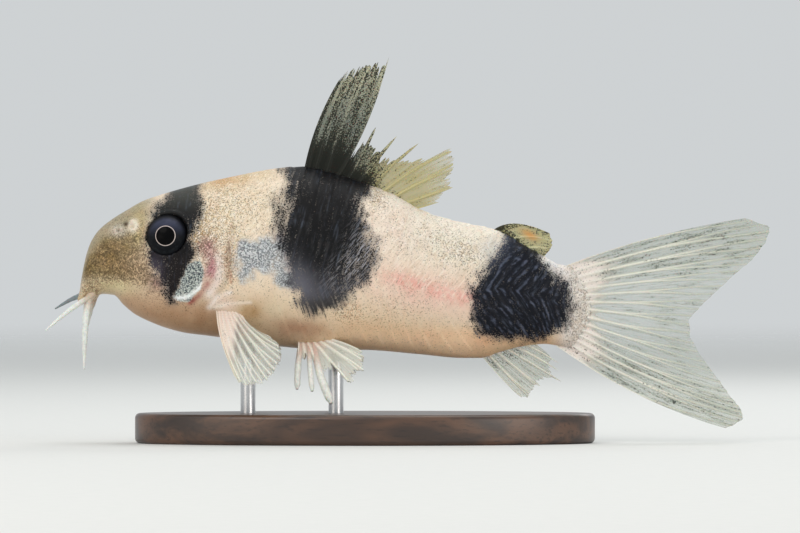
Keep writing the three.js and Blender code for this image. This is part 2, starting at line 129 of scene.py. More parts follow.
back = through([
    (0, 15.3), (0.3, 16.6), (0.7, 18.3), (1.2, 19.6), (2, 20.7), (3.4, 21.8), (4.7, 22.6), (6.3, 23.5),
    (8, 24.1), (10, 24.7), (12.1, 25.25), (14.1, 25.7), (16, 26.1), (18, 26.5), (20, 26.8), (22.2, 26.9),
    (25.5, 26.2), (28.6, 25.2), (31.4, 24.1), (33.7, 22.8), (35.7, 22), (38.4, 21.3), (40.9, 20.8),
    (42.5, 20.2), (44.5, 19), (46.5, 17.9), (48, 17.1), (51, 16.9),
])
belly = through([
    (0, 13.8), (0.5, 13.5), (1.2, 13.7), (2.3, 14.2), (3.4, 14.1), (4.4, 13.1), (5.5, 12.2), (7.1, 11.4),
    (8.7, 10.8), (10.7, 10.3), (12.7, 10.05), (16, 9.6), (20.5, 8.9), (24, 8.65), (28.6, 8.6), (33.7, 8.2),
    (38.4, 7.8), (40, 7.8), (42, 8.4), (44.1, 8.95), (46.5, 9.2), (48, 9.0), (51, 8.6),
])
half_width = through([
    (0, 1.5), (0.3, 2.0), (0.7, 2.5), (1.2, 2.9), (2, 3.3), (3.4, 3.85), (5, 4.4), (7, 4.95), (9, 5.4),
    (12, 6.0), (15, 6.45), (18, 6.5), (22, 6.3), (26, 5.85), (30, 5.2), (34, 4.4), (38, 3.6), (42, 2.85),
    (46, 2.2), (49, 1.7), (51, 1.45),
])
waist = through([(0, 0.45), (6, 0.42), (14, 0.4), (26, 0.4), (38, 0.46), (46, 0.5), (51, 0.5)])
upper_full = through([(0, 0.85), (10, 0.8), (16, 1.0), (22, 1.25), (34, 1.15), (46, 1.0)])
lower_full = through([(0, 0.8), (10, 0.7), (22, 0.75), (34, 0.85), (44, 1.0)])
print("deepest body:", round(float((back(22.2) - belly(22.2))), 1), "mm")

# %% [markdown]
# ## From rings of points to a mesh
# The skin, each fin, each barbel and the rods are all rings of points in a row. A tube closes its ends with
# a fan, and a fin, whose rings are flat loops round the two faces, closes them with a strip. Doing this with
# arrays is fast enough for a hundred thousand points. Tones and masks worked out for the same points go
# along as attributes, which the materials read.

# %% Mesh helpers


def loft(name, rings, cap="fan", smooth=True, **paint):
    rings = np.asarray(rings, float)
    count, sides = rings.shape[:2]
    here = np.arange(count * sides).reshape(count, sides)
    quads = np.stack([here[:-1], np.roll(here, -1, 1)[:-1], np.roll(here, -1, 1)[1:], here[1:]], -1)
    faces = quads.reshape(-1, 4).tolist()
    points = rings.reshape(-1, 3)
    paint = {key: np.asarray(p, float).reshape(count, sides, -1) for key, p in paint.items()}
    if cap == "fan":
        points = np.vstack([points, rings[0].mean(0), rings[-1].mean(0)])
        for ring, centre in ((here[0], count * sides), (here[-1], count * sides + 1)):
            faces += [(int(a), int(b), centre) for a, b in zip(ring, np.roll(ring, -1))]
    else:
        half = sides // 2
        for ring in (here[0], here[-1]):
            far = ring[::-1]
            faces += [(int(ring[r]), int(ring[r + 1]), int(far[r + 1]), int(far[r])) for r in range(half - 1)]
    mesh = bpy.data.meshes.new(name)
    mesh.from_pydata(to_scene(points).tolist(), [], faces)
    for key, values in paint.items():
        flat = values.reshape(count * sides, -1)
        if cap == "fan":
            flat = np.vstack([flat, values[0].mean(0), values[-1].mean(0)])
        kind, field = {1: ("FLOAT", "value"), 3: ("FLOAT_VECTOR", "vector")}[flat.shape[1]]
        mesh.attributes.new(key, kind, "POINT").data.foreach_set(field, flat.ravel())
    return finish_mesh(name, mesh, smooth)


def finish_mesh(name, mesh, smooth=True):
    """Turns the faces outwards, shades them and puts the piece on the fish."""
    work = bmesh.new()
    work.from_mesh(mesh)
    bmesh.ops.recalc_face_normals(work, faces=work.faces)
    work.to_mesh(mesh)
    work.free()
    if smooth:
        mesh.shade_smooth()
    piece = bpy.data.objects.new(name, mesh)
    bpy.context.scene.collection.objects.link(piece)
    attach(piece, "root")
    print(name, len(mesh.polygons), "faces")
    return piece


# %% [markdown]
# ## The body's plain form
# The section is a rounded shape, drawn in towards a ridge on the back and filled out at the belly. A
# corydoras has a flat breast, a high back under the dorsal fin and a snout that drops steeply to the mouth.
# Rings at about every tenth of a millimetre are fine enough to carry the armour plates and the lids of the
# eyes later.

# %% Rings along the body
SIDES = 264
NOSE_RINGS = 12
NOSE_START = 0.12  # angle of the first ring on the round end of the snout, in radians
ROUND_END = 0.45  # length over which the snout closes
RING_GAP = 0.108
BODY_END = 51.2
TAIL_THINS = (48.2, 51.3)  # where the body flattens into the tail fin
TAIL_THINNER = 0.93
angle = (np.arange(SIDES) + 0.5) / SIDES * 2 * np.pi
nose = ROUND_END * (1 - np.cos(np.linspace(NOSE_START, np.pi / 2, NOSE_RINGS)))
stations = np.concatenate([nose, np.arange(nose[-1] + 0.1, BODY_END, RING_GAP)])
along = stations[:, None] * np.ones(SIDES)
lift, spread = np.sin(angle), np.cos(angle)


def section(x):
    """Rings of the plain skin at stations x."""
    middle = mix(belly(x), back(x), waist(x))
    full = np.where(lift > 0, upper_full(x), lower_full(x))
    reach = np.where(lift > 0, back(x) - middle, middle - belly(x))
    y = half_width(x) * np.sign(spread) * np.abs(spread) ** full
    z = middle + reach * np.sign(lift) * np.abs(lift) ** np.minimum(1, full + 0.1)
    return np.stack([x * np.ones_like(y), y, z], -1)


body = section(along)
round_nose = np.sqrt(np.clip(1 - (1 - stations / ROUND_END) ** 2, 0, 1))
closing = np.where(stations < ROUND_END, round_nose, 1)
middles = body.mean(1, keepdims=True)
body[..., 1:] = middles[..., 1:] + (body[..., 1:] - middles[..., 1:]) * closing[:, None, None]
# The last rings flatten, draw in and bend forward above and below, so the body ends in a rounded wedge.
body[..., 1] *= (1 - TAIL_THINNER * step(stations, *TAIL_THINS))[:, None]
body[..., 2] += (middles[..., 2] - body[..., 2]) * (0.12 * step(stations, 50.2, BODY_END))[:, None]
body[..., 0] -= 1.6 * (lift * np.ones_like(along)) ** 2 * step(stations, 48.6, BODY_END)[:, None]
X, Y, Z = body[..., 0], body[..., 1], body[..., 2]
side = np.sign(Y)
print("skin points:", X.size)


def skin_y(x, z):
    """Half width of the skin at one place on the flank."""
    middle = mix(belly(x), back(x), waist(x))
    above = z > middle
    reach = np.where(above, back(x) - middle, middle - belly(x))
    full = np.where(above, upper_full(x), lower_full(x))
    s = np.clip(np.abs(z - middle) / reach, 0, 1) ** (1 / np.minimum(1, full + 0.1))
    return half_width(x) * np.sqrt(1 - s * s) ** full


# %% [markdown]
# ## Armour plates, gill cover and lateral line
# Two rows of bony plates lie on each flank, every plate's hind edge over the next one, and they meet in a
# shallow chevron at the lateral line. The relief is worked out as a height over the skin at each point: a
# slow rise along a plate and a quick drop behind its edge. The same count of plates later draws the pale
# plate edges in the dark saddles.

# %% Relief of the flank
PLATE_START = 17.5
PLATE_PITCH = 1.5
PLATE_EDGE = 0.86  # share of a plate's length at which its surface drops again
PLATE_RISE = 0.07
MIDDLE_GROOVE = 0.06
CHEVRON = 2.5
COVER_RISE = 0.34
GILL_SLIT = 0.14
gill_edge = through([
    (5, 10.3), (9.6, 10.7), (12, 11.7), (13.6, 13.2), (15.9, 14.6), (18.9, 15.1), (23.6, 15.2), (27.6, 15.7),
    (32, 16.2),
])
slant = np.abs(lift - 0.08) * np.ones_like(X)
behind = CHEVRON * step(X, 9, 20) * (1 + 0.6 * step(X, 33, 40)) * (1 - 0.85 * step(X, 44, 49.5))
plate = (X - behind * slant - PLATE_START) / PLATE_PITCH
phase = plate - np.floor(plate)
armoured = step(plate, -0.1, 0.4) * (1 - step(-lift, 0.8, 0.97)) * (1 - 0.6 * step(X, 47.5, 49.5))
ramp = np.where(phase < PLATE_EDGE, phase / PLATE_EDGE, (1 - phase) / (1 - PLATE_EDGE))
height = PLATE_RISE * ramp * armoured
height -= MIDDLE_GROOVE * np.exp(-((slant / 0.055) ** 2)) * step(X, 17.5, 19)

past_gill = X - gill_edge(Z)
flank = (1 - step(Z, 20, 23.5)) * step(Z, 12.6, 15.4)
height += COVER_RISE * flank * step(past_gill, -6, 0) * (1 - step(past_gill, 0, 0.45))
height -= GILL_SLIT * flank * np.exp(-(((past_gill - 0.4) / 0.25) ** 2))
print("plates a side:", int(plate.max()) + 1)

# %% [markdown]
# ## Eye sockets, nostrils, lips and the shoulder
# The eye sits high on the head in a round socket with a fleshy rim. In front of it a pale flap stands
# between two nostrils. The mouth points down, with a fold of lip round it, and a bony shoulder ridge carries
# the pectoral spine. Each is a smooth bump or dent that fades with the distance from its centre or line.

# %% Distances from points and lines


def unit(vector):
    return np.array(vector, float) / np.linalg.norm(vector)


def distance(places, points):
    """Distance of each place from the line through the points, in side view or in space."""
    nearest = np.full(places.shape[:-1], np.inf)
    points = np.array(points, float)
    for a, b in zip(points[:-1], points[1:]):
        t = np.clip(((places - a) @ (b - a)) / ((b - a) @ (b - a)), 0, 1)
        nearest = np.minimum(nearest, np.linalg.norm(places - a - t[..., None] * (b - a), axis=-1))
    return nearest


def fading(away, radius):
    """One at no distance, fading over the radius."""
    return np.exp(-((away / radius) ** 2))


folded = np.stack([X, np.abs(Y), Z], -1)  # both sides of the fish laid on each other


def bump(centre, radius):
    """A round spot on both flanks at (x, z)."""
    at = np.array([centre[0], skin_y(*centre), centre[1]])
    return fading(np.linalg.norm(folded - at, axis=-1), radius)


def near_line(points, radius):
    """A line on both flanks through (x, y, z) points."""
    return fading(distance(folded, points), radius)


# %% Relief of the head
EYE_AT = np.array([8.88, 0, 20.2])
EYE_RADIUS = 2.3
EYE_SUNK = 1.2
LID_RISE = 0.15
SOCKET_DEPTH = 0.8
NOSTRILS = [((3.95, 20.55), 0.42), ((5.4, 20.9), 0.5)]
UPPER_LIP = dict(y=2.1, front=0.15, end=2.5, z=13.75)
LOWER_LIP = dict(y=1.8, front=1.3, end=3.1, z=13.55)
MOUTH = [(0.75, 0, 13.4), (1.3, 1.4, 13.4), (2.8, 1.9, 13.5)]
SHOULDER = [(12.9, 5.4, 14.6), (14.2, 5.7, 13.3), (16.6, 5.8, 12.5)]


def eye_axis(which):
    out = unit((-0.08, which * 0.93, 0.34))
    on_skin = EYE_AT + [0, which * skin_y(EYE_AT[0], EYE_AT[2]), 0]
    return out, on_skin


def lip_line(lip):
    share = np.linspace(0, 1, 9)
    return [(mix(lip["front"], lip["end"], s**1.6), lip["y"] * s**0.55, lip["z"] + 0.1 * s) for s in share]


for which in (-1, 1):
    out, on_skin = eye_axis(which)
    away = body - on_skin
    off = np.linalg.norm(away - (away @ out)[..., None] * out, axis=-1)
    here = (side == which) * (np.abs(X - EYE_AT[0]) < 4)
    height += here * (LID_RISE * fading(off - EYE_RADIUS, 0.24) - SOCKET_DEPTH * (1 - step(off, 1.8, 2.16)))

for place, radius in NOSTRILS:
    height += 0.42 * bump(place, radius) - 0.75 * bump(place, radius * 0.55)
height += 0.3 * bump((5.5, 21.35), 0.3)
height += 0.5 * near_line(lip_line(UPPER_LIP), 0.45) + 0.2 * near_line(lip_line(LOWER_LIP), 0.4)
height -= 0.32 * near_line(MOUTH, 0.2)
height += 0.2 * near_line(SHOULDER, 0.95) * (1 - step(X, 14.6, 16.8))
print("relief from", round(float(height.min()), 2), "to", round(float(height.max()), 2), "mm")

# %% [markdown]
# ## From heights to points
# The heights are added along the skin's own normals, which follow from the neighbouring points. A
# displacement map could do the same while rendering, but then the mesh itself would stay plain.

# %% Raise the relief on the plain form
tangent = np.gradient(body, axis=0)
round_it = np.roll(body, -1, 1) - np.roll(body, 1, 1)
normal = np.cross(round_it, tangent)
normal /= np.linalg.norm(normal, axis=-1, keepdims=True) + 1e-12
skin_points = body + normal * height[..., None]
print("rings raised:", len(skin_points))

# %% [markdown]
# ## Broad tones of the skin
# The living colours are soft: cream flanks, a peach belly, an olive snout, a golden nape and a pink band
# along the lateral line, with sharp black only in the saddles and the eye mask. Such broad tones could be a
# picture, but a picture of this fish would carry its light and shade as well. They are painted per point
# instead, layer over layer, each from one tone and a soft shape in side view.

# %% Shapes in side view
side_view = np.stack([X, Z], -1)


def within(outline, soft, ragged=0.0):
    """One well inside a closed outline of (x, z) corners, zero outside, over a soft and ragged edge."""
    inside = np.zeros(X.shape, bool)
    for (ax, az), (bx, bz) in zip(outline, outline[1:] + outline[:1]):
        if az != bz:
            inside ^= ((az > Z) != (bz > Z)) & (X < ax + (Z - az) * (bx - ax) / (bz - az))
    edge = distance(side_view, outline + outline[:1])
    return step(np.where(inside, edge, -edge) + ragged * (patches - 0.5), -soft, soft)


def stroke(points, radius):
    """A soft line through (x, z) points in side view."""
    return fading(distance(side_view, points), radius)


def glow(centre, reach, tilt=0):
    """A soft oval round (x, z) with half lengths reach, tilted by degrees."""
    turn = math.radians(tilt)
    dx, dz = X - centre[0], Z - centre[1]
    u = (dx * math.cos(turn) + dz * math.sin(turn)) / reach[0]
    v = (-dx * math.sin(turn) + dz * math.cos(turn)) / reach[1]
    return np.exp(-(u * u + v * v))


def cloud(size, seed):
    """Slow random light and dark over the flank, in patches about size millimetres across."""
    cells_across = 80
    values = np.random.default_rng(seed).uniform(0, 1, (cells_across, cells_across, 2))
    u, v = X / size, Z / size
    i, j = u.astype(int) % (cells_across - 1), v.astype(int) % (cells_across - 1)
    fu, fv = step(u - np.floor(u), 0, 1), step(v - np.floor(v), 0, 1)
    which = (side > 0).astype(int)
    near = mix(values[i, j, which], values[i + 1, j, which], fu)
    far = mix(values[i, j + 1, which], values[i + 1, j + 1, which], fu)
    return mix(near, far, fv)


patches = 0.6 * cloud(1.1, 1) + 0.4 * cloud(0.45, 2)
grains = 0.5 * cloud(0.32, 5) + 0.5 * cloud(0.2, 6)
print("patches from", round(float(patches.min()), 2), "to", round(float(patches.max()), 2))

# %% Paint the flanks and the belly
tall = np.clip((Z - belly(X)) / (back(X) - belly(X)), 0, 1)
tone = np.ones(X.shape + (3,)) * colour("#e3d3bf")  # the ground tone, under all that follow


def wash(code, share, ragged=0.35):
    """Lays a tone over the others, its share broken up by the patches."""
    global tone
    share = np.clip(share * (1 + ragged * (2 * patches - 1)), 0, 1)
    tone = mix(tone, colour(code), share[..., None])


wash("#e2dacb", step(tall, 0.5, 0.8) * step(X, 26, 31), 0.1)
wash("#e4cdbf", glow((31.0, 20.6), (2.6, 3.0)) * 0.5)
wash("#dcc6a4", (1 - step(tall, 0.08, 0.5)) * 0.8, 0.1)
wash("#b89a75", (1 - step(tall, 0.0, 0.24)) * (1 - step(X, 20, 26)) * 0.7)
wash("#e2b88f", (1 - step(tall, 0.0, 0.3)) * step(X, 22, 28) * 0.8)
wash("#a4705f", glow((21.5, 10.4), (2.6, 1.0)) * 0.4)
wash("#a9875c", glow((17.3, 12.5), (1.7, 1.2)) * 0.8)
wash("#d3c3a6", glow((19.5, 12.5), (1.2, 1.4)) * 0.6)
band_z = mix(16.2, 13.8, step(X, 29, 39.5))
wash("#e3bdb0", glow((35.0, 14.3), (6.0, 2.0), -10) * 0.7, 0.5)
band = fading(Z - band_z + 0.5 * (patches - 0.5), 0.75) * step(X, 28.5, 33) * (1 - step(X, 39.5, 41))
wash("#e2a297", band * 0.7 * step(grains, 0.2, 0.62), 0.4)
wash("#d0956f", fading(Z - 9.6, 0.8) * step(X, 30, 35) * (1 - step(X, 40, 42)) * 0.8)
wash("#a5785c", glow((22.0, 11.0), (2.8, 0.9), -8) * 0.6)
wash("#f6d6b2", step(X, 24.5, 29) * (1 - step(Z, 9.6, 11.5)) * (1 - step(X, 38, 42)) * 0.85, 0.1)

# %% Paint the nape, the snout and the throat
wash("#e0d2ba", glow((16.5, 22.3), (5.0, 3.8)) * 0.85)
wash("#c9ae80", glow((14.8, 25.6), (5.0, 1.0), 12) * 0.75)
wash("#cb9860", glow((14.2, 26), (1.6, 0.8)) * 0.7)
wash("#dccdb4", glow((13.0, 20.8), (1.8, 2.6)) * 0.75)
wash("#7f6e42", (1 - step(X, 4.4, 8.0)) * step(Z, 14.2, 16.6) * 0.95, 0.2)
wash("#a39b83", (1 - step(X, 6.0, 8.6)) * step(tall, 0.66, 0.9) * 0.8, 0.2)
wash("#97794a", glow((4.0, 17.6), (3.0, 1.6)) * 0.5)
wash("#c4ad90", glow((6.2, 16.9), (1.5, 1.8)) * 0.8)
wash("#c4b296", glow((3.4, 14.8), (2.8, 0.9)) * 0.8)
wash("#b5a266", glow((6.0, 20.9), (0.8, 2.2)) * 0.55)
wash("#a98c66", glow((5.0, 16.2), (3.2, 1.2), -15) * 0.5)
throat = (1 - step(Z, 12.0, 15.6)) * (1 - step(X, 13.5, 17))
wash("#a98566", throat * 0.9, 0.15)
wash("#b8967a", throat * glow((5.6, 13.9), (3.4, 1.2)) * 0.8)
wash("#d3c69c", glow((3.3, 15.0), (2.2, 0.75), -4) * 0.85)
wash("#c9b795", (1 - step(X, 2.2, 3.8)) * (1 - step(Z, 14.2, 15.6)) * 0.7)
wash("#7d5a58", glow((8.1, 15.4), (1.2, 1.0)) * 0.8)
wash("#b4907a", glow((13.2, 18.7), (1.2, 1.1)) * 0.4, 0.8)

# %% Paint the gill, the shoulder and the root of the tail
gill_blush = [(13.0, 18.9), (13.4, 17.8), (13.5, 16.6), (13.0, 15.4)]
wash("#a8707a", stroke(gill_blush, 0.75) * 0.75, 0.7)
wash("#ab5168", stroke([(13.6, 17.3), (13.55, 16.2)], 0.3) * 0.35, 0.8)
wash("#8f3a3d", stroke([(13.0, 15.2), (12.2, 14.2), (11.2, 13.4)], 0.3) * 0.7, 0.6)
# painted sheen: a pale line along the raised hind edge of the gill cover
wash("#e3d8d2", stroke([(14.1, 17.9), (14.3, 16.6), (13.9, 15.4), (13.1, 14.1)], 0.34) * 0.8, 0.5)
wash("#b8835f", stroke([(15.0, 19.0), (14.9, 17.0), (15.2, 15.6)], 0.32) * 0.4, 0.9)
# painted shade: a thin dark line in the gill slit
wash("#5b4632", stroke([(15.0, 19.3), (15.05, 18.6), (14.8, 17.4)], 0.12) * 0.8, 0.8)
wash("#ebe1d3", near_line(SHOULDER, 0.6) * 0.8 * (1 - step(X, 14.2, 16.4)))
wash("#d9c3b4", glow((14.6, 13.4), (1.3, 0.8)) * 0.6)
wash("#efe6e0", stroke([(13.1, 12.9), (13.8, 13.9), (15.2, 14.4)], 0.26) * 0.7, 0.7)
wash("#f2ece2", stroke([(13.6, 12.9), (15.0, 13.3), (17.2, 13.4)], 0.16) * 0.45)
wash("#8b8a96", stroke([(20.1, 19.8), (20.7, 17.6), (21.5, 15.2)], 0.6) * 0.9, 0.3)
wash("#dfd7cf", step(X, 46.6, 48.8) * 0.9, 0.2)
wash("#c9ccd2", glow((47.2, 17.0), (1.9, 0.8), -45) * 0.8)
wash("#cdc5b8", glow((3.95, 20.5), (0.85, 0.6)) * 0.9, 0.5)
flap = glow((5.5, 20.95), (0.45, 0.55), -15)
wash("#e6ddcd", flap * 1.7, 0)
wash("#2e271c", glow((4.75, 21.15), (0.26, 0.22)) * 1.2, 0)

wave = np.sin(5.2 * (Z + 0.35 * np.sin(1.7 * X) - 0.12 * X) + 3.0 * patches)
wavy_line = 1 - step(np.abs(wave), 0.0, 0.35)
wash("#efe3c8", wavy_line * glow((14.6, 21.4), (3.2, 2.4)) * 0.7, 0.6)

# %% [markdown]
# ## Pigment and silver
# The black comes from tiny pigment cells that crowd together in the saddles and thin out round them, so an
# edge is a zone of ever fewer dots. One attribute says how crowded they are, and the material turns it into
# dots. A second one says where crystals in the skin make silver: on the gill cover, behind the gill and at
# the root of the tail.

# %% Outlines of the markings
FRONT_SADDLE = [
    (20.3, 28), (20.5, 25.4), (20.0, 23.6), (19.7, 22.2), (20.1, 19.4), (21.2, 16.0), (22.3, 13.3),
    (23.6, 12.5), (25.3, 12.9), (27.0, 14.1), (28.5, 15.6), (29.6, 17.5), (29.7, 19.6), (28.4, 21.6),
    (28.1, 23.4), (28.9, 25.2), (29, 28),
]
REAR_SADDLE = [
    (43.0, 22.5), (42.3, 20.0), (41.2, 18.4), (40.2, 16.8), (39.4, 14.9), (39.5, 12.2), (39.8, 10.5),
    (41.8, 9.7), (44.3, 9.6), (47.0, 10.0), (48.6, 11.5), (49.2, 13.1), (48.3, 15.2), (47.2, 16.7),
    (46.3, 17.6), (45.6, 20.5),
]
MASK_OVER_EYE = [
    (12.6, 27), (11.9, 24.4), (12.2, 23.2), (12.2, 22.4), (11.6, 21.2), (11.3, 19.8), (10.7, 18.4),
    (7.1, 18.2), (7.2, 20.3), (7.6, 22.3), (8.3, 23.2), (9.0, 24.1), (9.4, 27),
]
MASK_UNDER_EYE = [
    (7.1, 19.0), (7.0, 17.6), (7.7, 16.2), (8.5, 14.9), (9.0, 13.7), (9.7, 13.2), (10.4, 14.4),
    (10.9, 15.6), (11.6, 17.0), (11.5, 18.2), (11.3, 19.6),
]
SILVER_ON_COVER = [
    (12.3, 17.8), (11.6, 17.6), (11.0, 17.0), (10.5, 16.0), (10.0, 14.9), (9.5, 13.9), (9.9, 13.5),
    (11.0, 13.7), (12.1, 14.5), (12.8, 15.4), (12.4, 16.4), (12.5, 17.2),
]
SILVER_BEHIND_GILL = [
    (15.8, 18.9), (16.2, 19.5), (18.3, 20.0), (20.1, 19.6), (21.0, 17.4), (21.8, 15.0), (20.2, 15.0),
    (19.0, 16.4), (17.8, 16.6), (17.1, 15.7), (16.2, 15.2), (15.8, 17.6),
]
front_saddle = within(FRONT_SADDLE, 1.5, 1.6)
rear_saddle = within(REAR_SADDLE, 1.35, 1.4)
mask_top = within(MASK_OVER_EYE, 1.0, 0.8)
mask_low = within(MASK_UNDER_EYE, 0.9, 1.0)
cover_patch = within(SILVER_ON_COVER, 0.35, 0.8)
cover_rim = stroke([(9.8, 13.8), (10.8, 13.9), (11.8, 14.5), (12.5, 15.2)], 0.26)
flank_patch = within(SILVER_BEHIND_GILL, 1.2, 1.0)

# %% Thin the markings out
wisps = np.clip(glow((28.8, 19.2), (1.6, 2.9), -20) + 0.7 * glow((26.8, 16.4), (2.2, 1.4), 30), 0, 1)
fringe = (1 - step(Z, 12.8, 14.8)) * glow((24.5, 13), (4, 3))
pale_edge = stroke([(21.8, 25.4), (21.7, 24.0), (21.3, 22.6), (20.6, 21.2)], 0.16) * patches
blue_corner = glow((40.9, 18.9), (1.4, 2.2), -40)
front_saddle *= (1 - 0.34 * wisps) * (1 - 0.5 * glow((20.7, 23.2), (0.9, 2.4))) * (1 - 0.6 * pale_edge)
mask_low *= 1 - 0.42 * glow((8.3, 16.6), (1.2, 1.3)) * step(grains, 0.3, 0.7)
rear_saddle *= 1 - 0.58 * blue_corner
pigment = np.maximum.reduce([front_saddle, rear_saddle, mask_top, mask_low * (1 - cover_patch)])
print("points with pigment:", int((pigment > 0.5).sum()))

# %% Freckles
FRECKLED = [  # how crowded, the middle as (x, z) and the reach
    (0.3, (15, 22.6), (5.0, 3.6)), (0.3, (11.9, 20.0), (1.0, 2.2)), (0.5, (1.0, 14.7), (1.4, 0.8)),
    (0.45, (8.8, 16), (3.6, 2.4)), (0.37, (38.0, 18.2), (2.6, 1.6)), (0.18, (34, 20.3), (4.5, 2.4)),
    (0.4, (29.6, 24.4), (1.4, 2.0)), (0.34, (12.8, 19.2), (2, 2.4)), (0.16, (31.5, 13), (4, 2.4)),
    (0.3, (26.5, 12.4), (1.8, 1.0)), (0.38, (15.2, 17.2), (1.0, 3.0)),
]
FRECKLED_EVERYWHERE = 0.1
freckles = 0.66 * (1 - step(X, 5.6, 8.4)) * step(Z, 14.7, 16.3) * (1 - 0.7 * step(tall, 0.6, 0.85))
freckles += 0.34 * step(X, 47.8, 49.3) + FRECKLED_EVERYWHERE
freckles += sum(crowded * glow(centre, reach) for crowded, centre, reach in FRECKLED)
freckles = np.clip(freckles * mix(0.65, 1.35, patches) * (1 - flap), 0, 0.72)
print("points with freckles:", int((freckles > 0.3).sum()))

# %% Silver and ink
silver = cover_patch + 0.9 * flank_patch * mix(0.7, 1.2, patches)
silver = np.clip(silver + 0.3 * step(X, 47.2, 49.2) + 0.45 * blue_corner, 0, 1)
silver_tone = mix(colour("#c3c9c2"), colour("#cfd1d2"), step(X, 13, 15)[..., None])
silver_tone = mix(silver_tone, colour("#f3f6f4"), cover_rim[..., None])
silver_dark = mix(mix(1.0, 0.78, step(X, 13, 15)), 0.1, cover_rim)
ink_tone = colour("#0c0d0f")
for code, share in [
    ("#151415", glow((24.5, 23.5), (4, 3))),
    ("#4c4b51", front_saddle * (1 - step(Z, 12.8, 18)) * 0.85),
    ("#6b6b75", glow((22.2, 14.9), (1.3, 2.6), 20) * 0.7),
    ("#33302c", fringe * 0.8),
    ("#0c0f18", step(X, 36, 38)),
    ("#667088", blue_corner * 0.5),
    ("#130f11", mask_low * (1 - mask_top)),
    ("#4a4350", glow((7.7, 16.6), (0.8, 1.4)) * 0.7),
    ("#3f403c", mask_top * step(Z, 21.6, 24.6)),
]:
    ink_tone = mix(ink_tone, colour(code), share[..., None])
print("points with silver:", int((silver > 0.5).sum()))

# %% Make the skin
FLANK_REACH = 6.0  # millimetres of flank that a lift of one stands for
threads = step(tall, 0.25, 0.55) * step(X, 9, 12)
scute = np.stack([plate, lift * np.ones_like(X) * FLANK_REACH, armoured], -1)
skin = loft(
    "skin", skin_points, tone=tone, pigment=pigment, freckles=freckles, silver=silver,
    silver_tone=silver_tone, silver_dark=silver_dark, ink_tone=ink_tone, rear=rear_saddle, wisps=wisps,
    fringe=fringe, threads=threads, scute=scute,
)
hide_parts("head", "trunk", "tail")

# %% [markdown]
# ## Building materials from nodes
# A material is a small network of nodes. One function adds a node of any kind, with its settings and the
# links or values of its inputs, so that each line of a material reads as one step. Patterns are sized in
# real millimetres.

# %% One function for any node
TIMES = {"operation": "MULTIPLY"}
SOFTLY = {"interpolation_type": "SMOOTHSTEP"}
TINTS = {"data_type": "RGBA", "clamp_factor": True}


def node(tree, kind, *values, out=None, **named):
    """Adds a node and gives one of its outputs, the first open one if none is named.

    Values fill the open inputs from the top. A name in lower case is a setting, and one with a capital is an
    input. An output of another node, given as a value, becomes a link.
    """
    made = tree.nodes.new("ShaderNode" + kind)
    for name in [name for name in named if name.islower()]:
        setattr(made, name, named.pop(name))
    inputs = list(zip([socket for socket in made.inputs if socket.enabled], values))
    inputs += [(made.inputs[name.replace("_", " ")], value) for name, value in named.items()]
    for socket, value in inputs:
        if isinstance(value, bpy.types.NodeSocket):
            tree.links.new(value, socket)
        else:
            socket.default_value = value
    return made.outputs[out] if out else next((socket for socket in made.outputs if socket.enabled), None)


def new_material(name):
    """An empty material, and the function above for its own nodes."""
    material = bpy.data.materials.new(name)
    material.use_nodes = True
    material.node_tree.nodes.clear()
    return material, functools.partial(node, material.node_tree)


def rgba(code):
    return (*colour(code), 1)


def per_mm(size):
    """The scale of a pattern whose features are about size millimetres across."""
    return 1 / (size * MM)


print("scale of a pattern of 1 mm:", round(per_mm(1)))

# %% [markdown]
# ## Living skin over bone
# The skin is thin, moist and a little see-through, so light scatters in it and comes out warm: that takes
# subsurface scattering over about half a millimetre. It shines little, as under water. Pigment cells are
# drawn as dots of 0.14 mm, somewhat coarser than the real ones, so that they still show in the picture.
# Streaks follow the plates, which is what frays the lower edge of the saddles. Bone under the skin gives a
# fine grain.

# %% Dots of pigment
PIGMENT_CELL = 0.14  # in millimetres, as all sizes of patterns
CLOUD_SIZE = 1.3
STREAK_WIDTH = 0.3
STREAK_LENGTH = 2.0
living, add = new_material("moist_skin_over_bony_plates")
fact = {
    name: add("Attribute", attribute_name=name, out="Fac")
    for name in ("pigment", "freckles", "silver", "silver_dark", "rear", "wisps", "fringe", "threads")
}
tint = {
    name: add("Attribute", attribute_name=name, out="Color") for name in ("tone", "ink_tone", "silver_tone")
}
scute_at = add("Attribute", attribute_name="scute", out="Vector")
where = add("TexCoord", out="Object")
cells = add("TexNoise", Vector=where, Scale=per_mm(PIGMENT_CELL), Detail=2.0, Roughness=0.6)
clouds = add("TexNoise", Vector=where, Scale=per_mm(CLOUD_SIZE), Detail=3.0, Roughness=0.6)
along_plates = add("VectorMath", scute_at, (PLATE_PITCH / STREAK_WIDTH, 1 / STREAK_LENGTH, 0.0), **TIMES)
streaks = add("TexNoise", Vector=along_plates, Scale=1.0, Detail=3.0, Roughness=0.55)
cell_here = add("MapRange", cells, 0.3, 0.7, **SOFTLY)
streak_here = add("MapRange", streaks, 0.32, 0.68, **SOFTLY)
dots = add("Math", add("Math", cell_here, 0.66, **TIMES), add("Math", streak_here, 0.34, **TIMES))
streak_share = add("MapRange", fact["fringe"], 0.0, 1.0, 0.0, 0.72, **SOFTLY)
scatter = add("Mix", streak_share, dots, streak_here)
dark_here = add("MapRange", add("Math", scatter, fact["pigment"]), 0.8, 1.24, **SOFTLY)
haze = add("MapRange", fact["pigment"], 0.05, 0.75, 0.0, 0.85, **SOFTLY)
freckle_here = add("MapRange", add("Math", cell_here, fact["freckles"]), 0.86, 1.3, 0.0, 0.6, **SOFTLY)
print("dots per mm:", round(1 / PIGMENT_CELL, 1), "and streaks per plate:", PLATE_PITCH / STREAK_WIDTH)

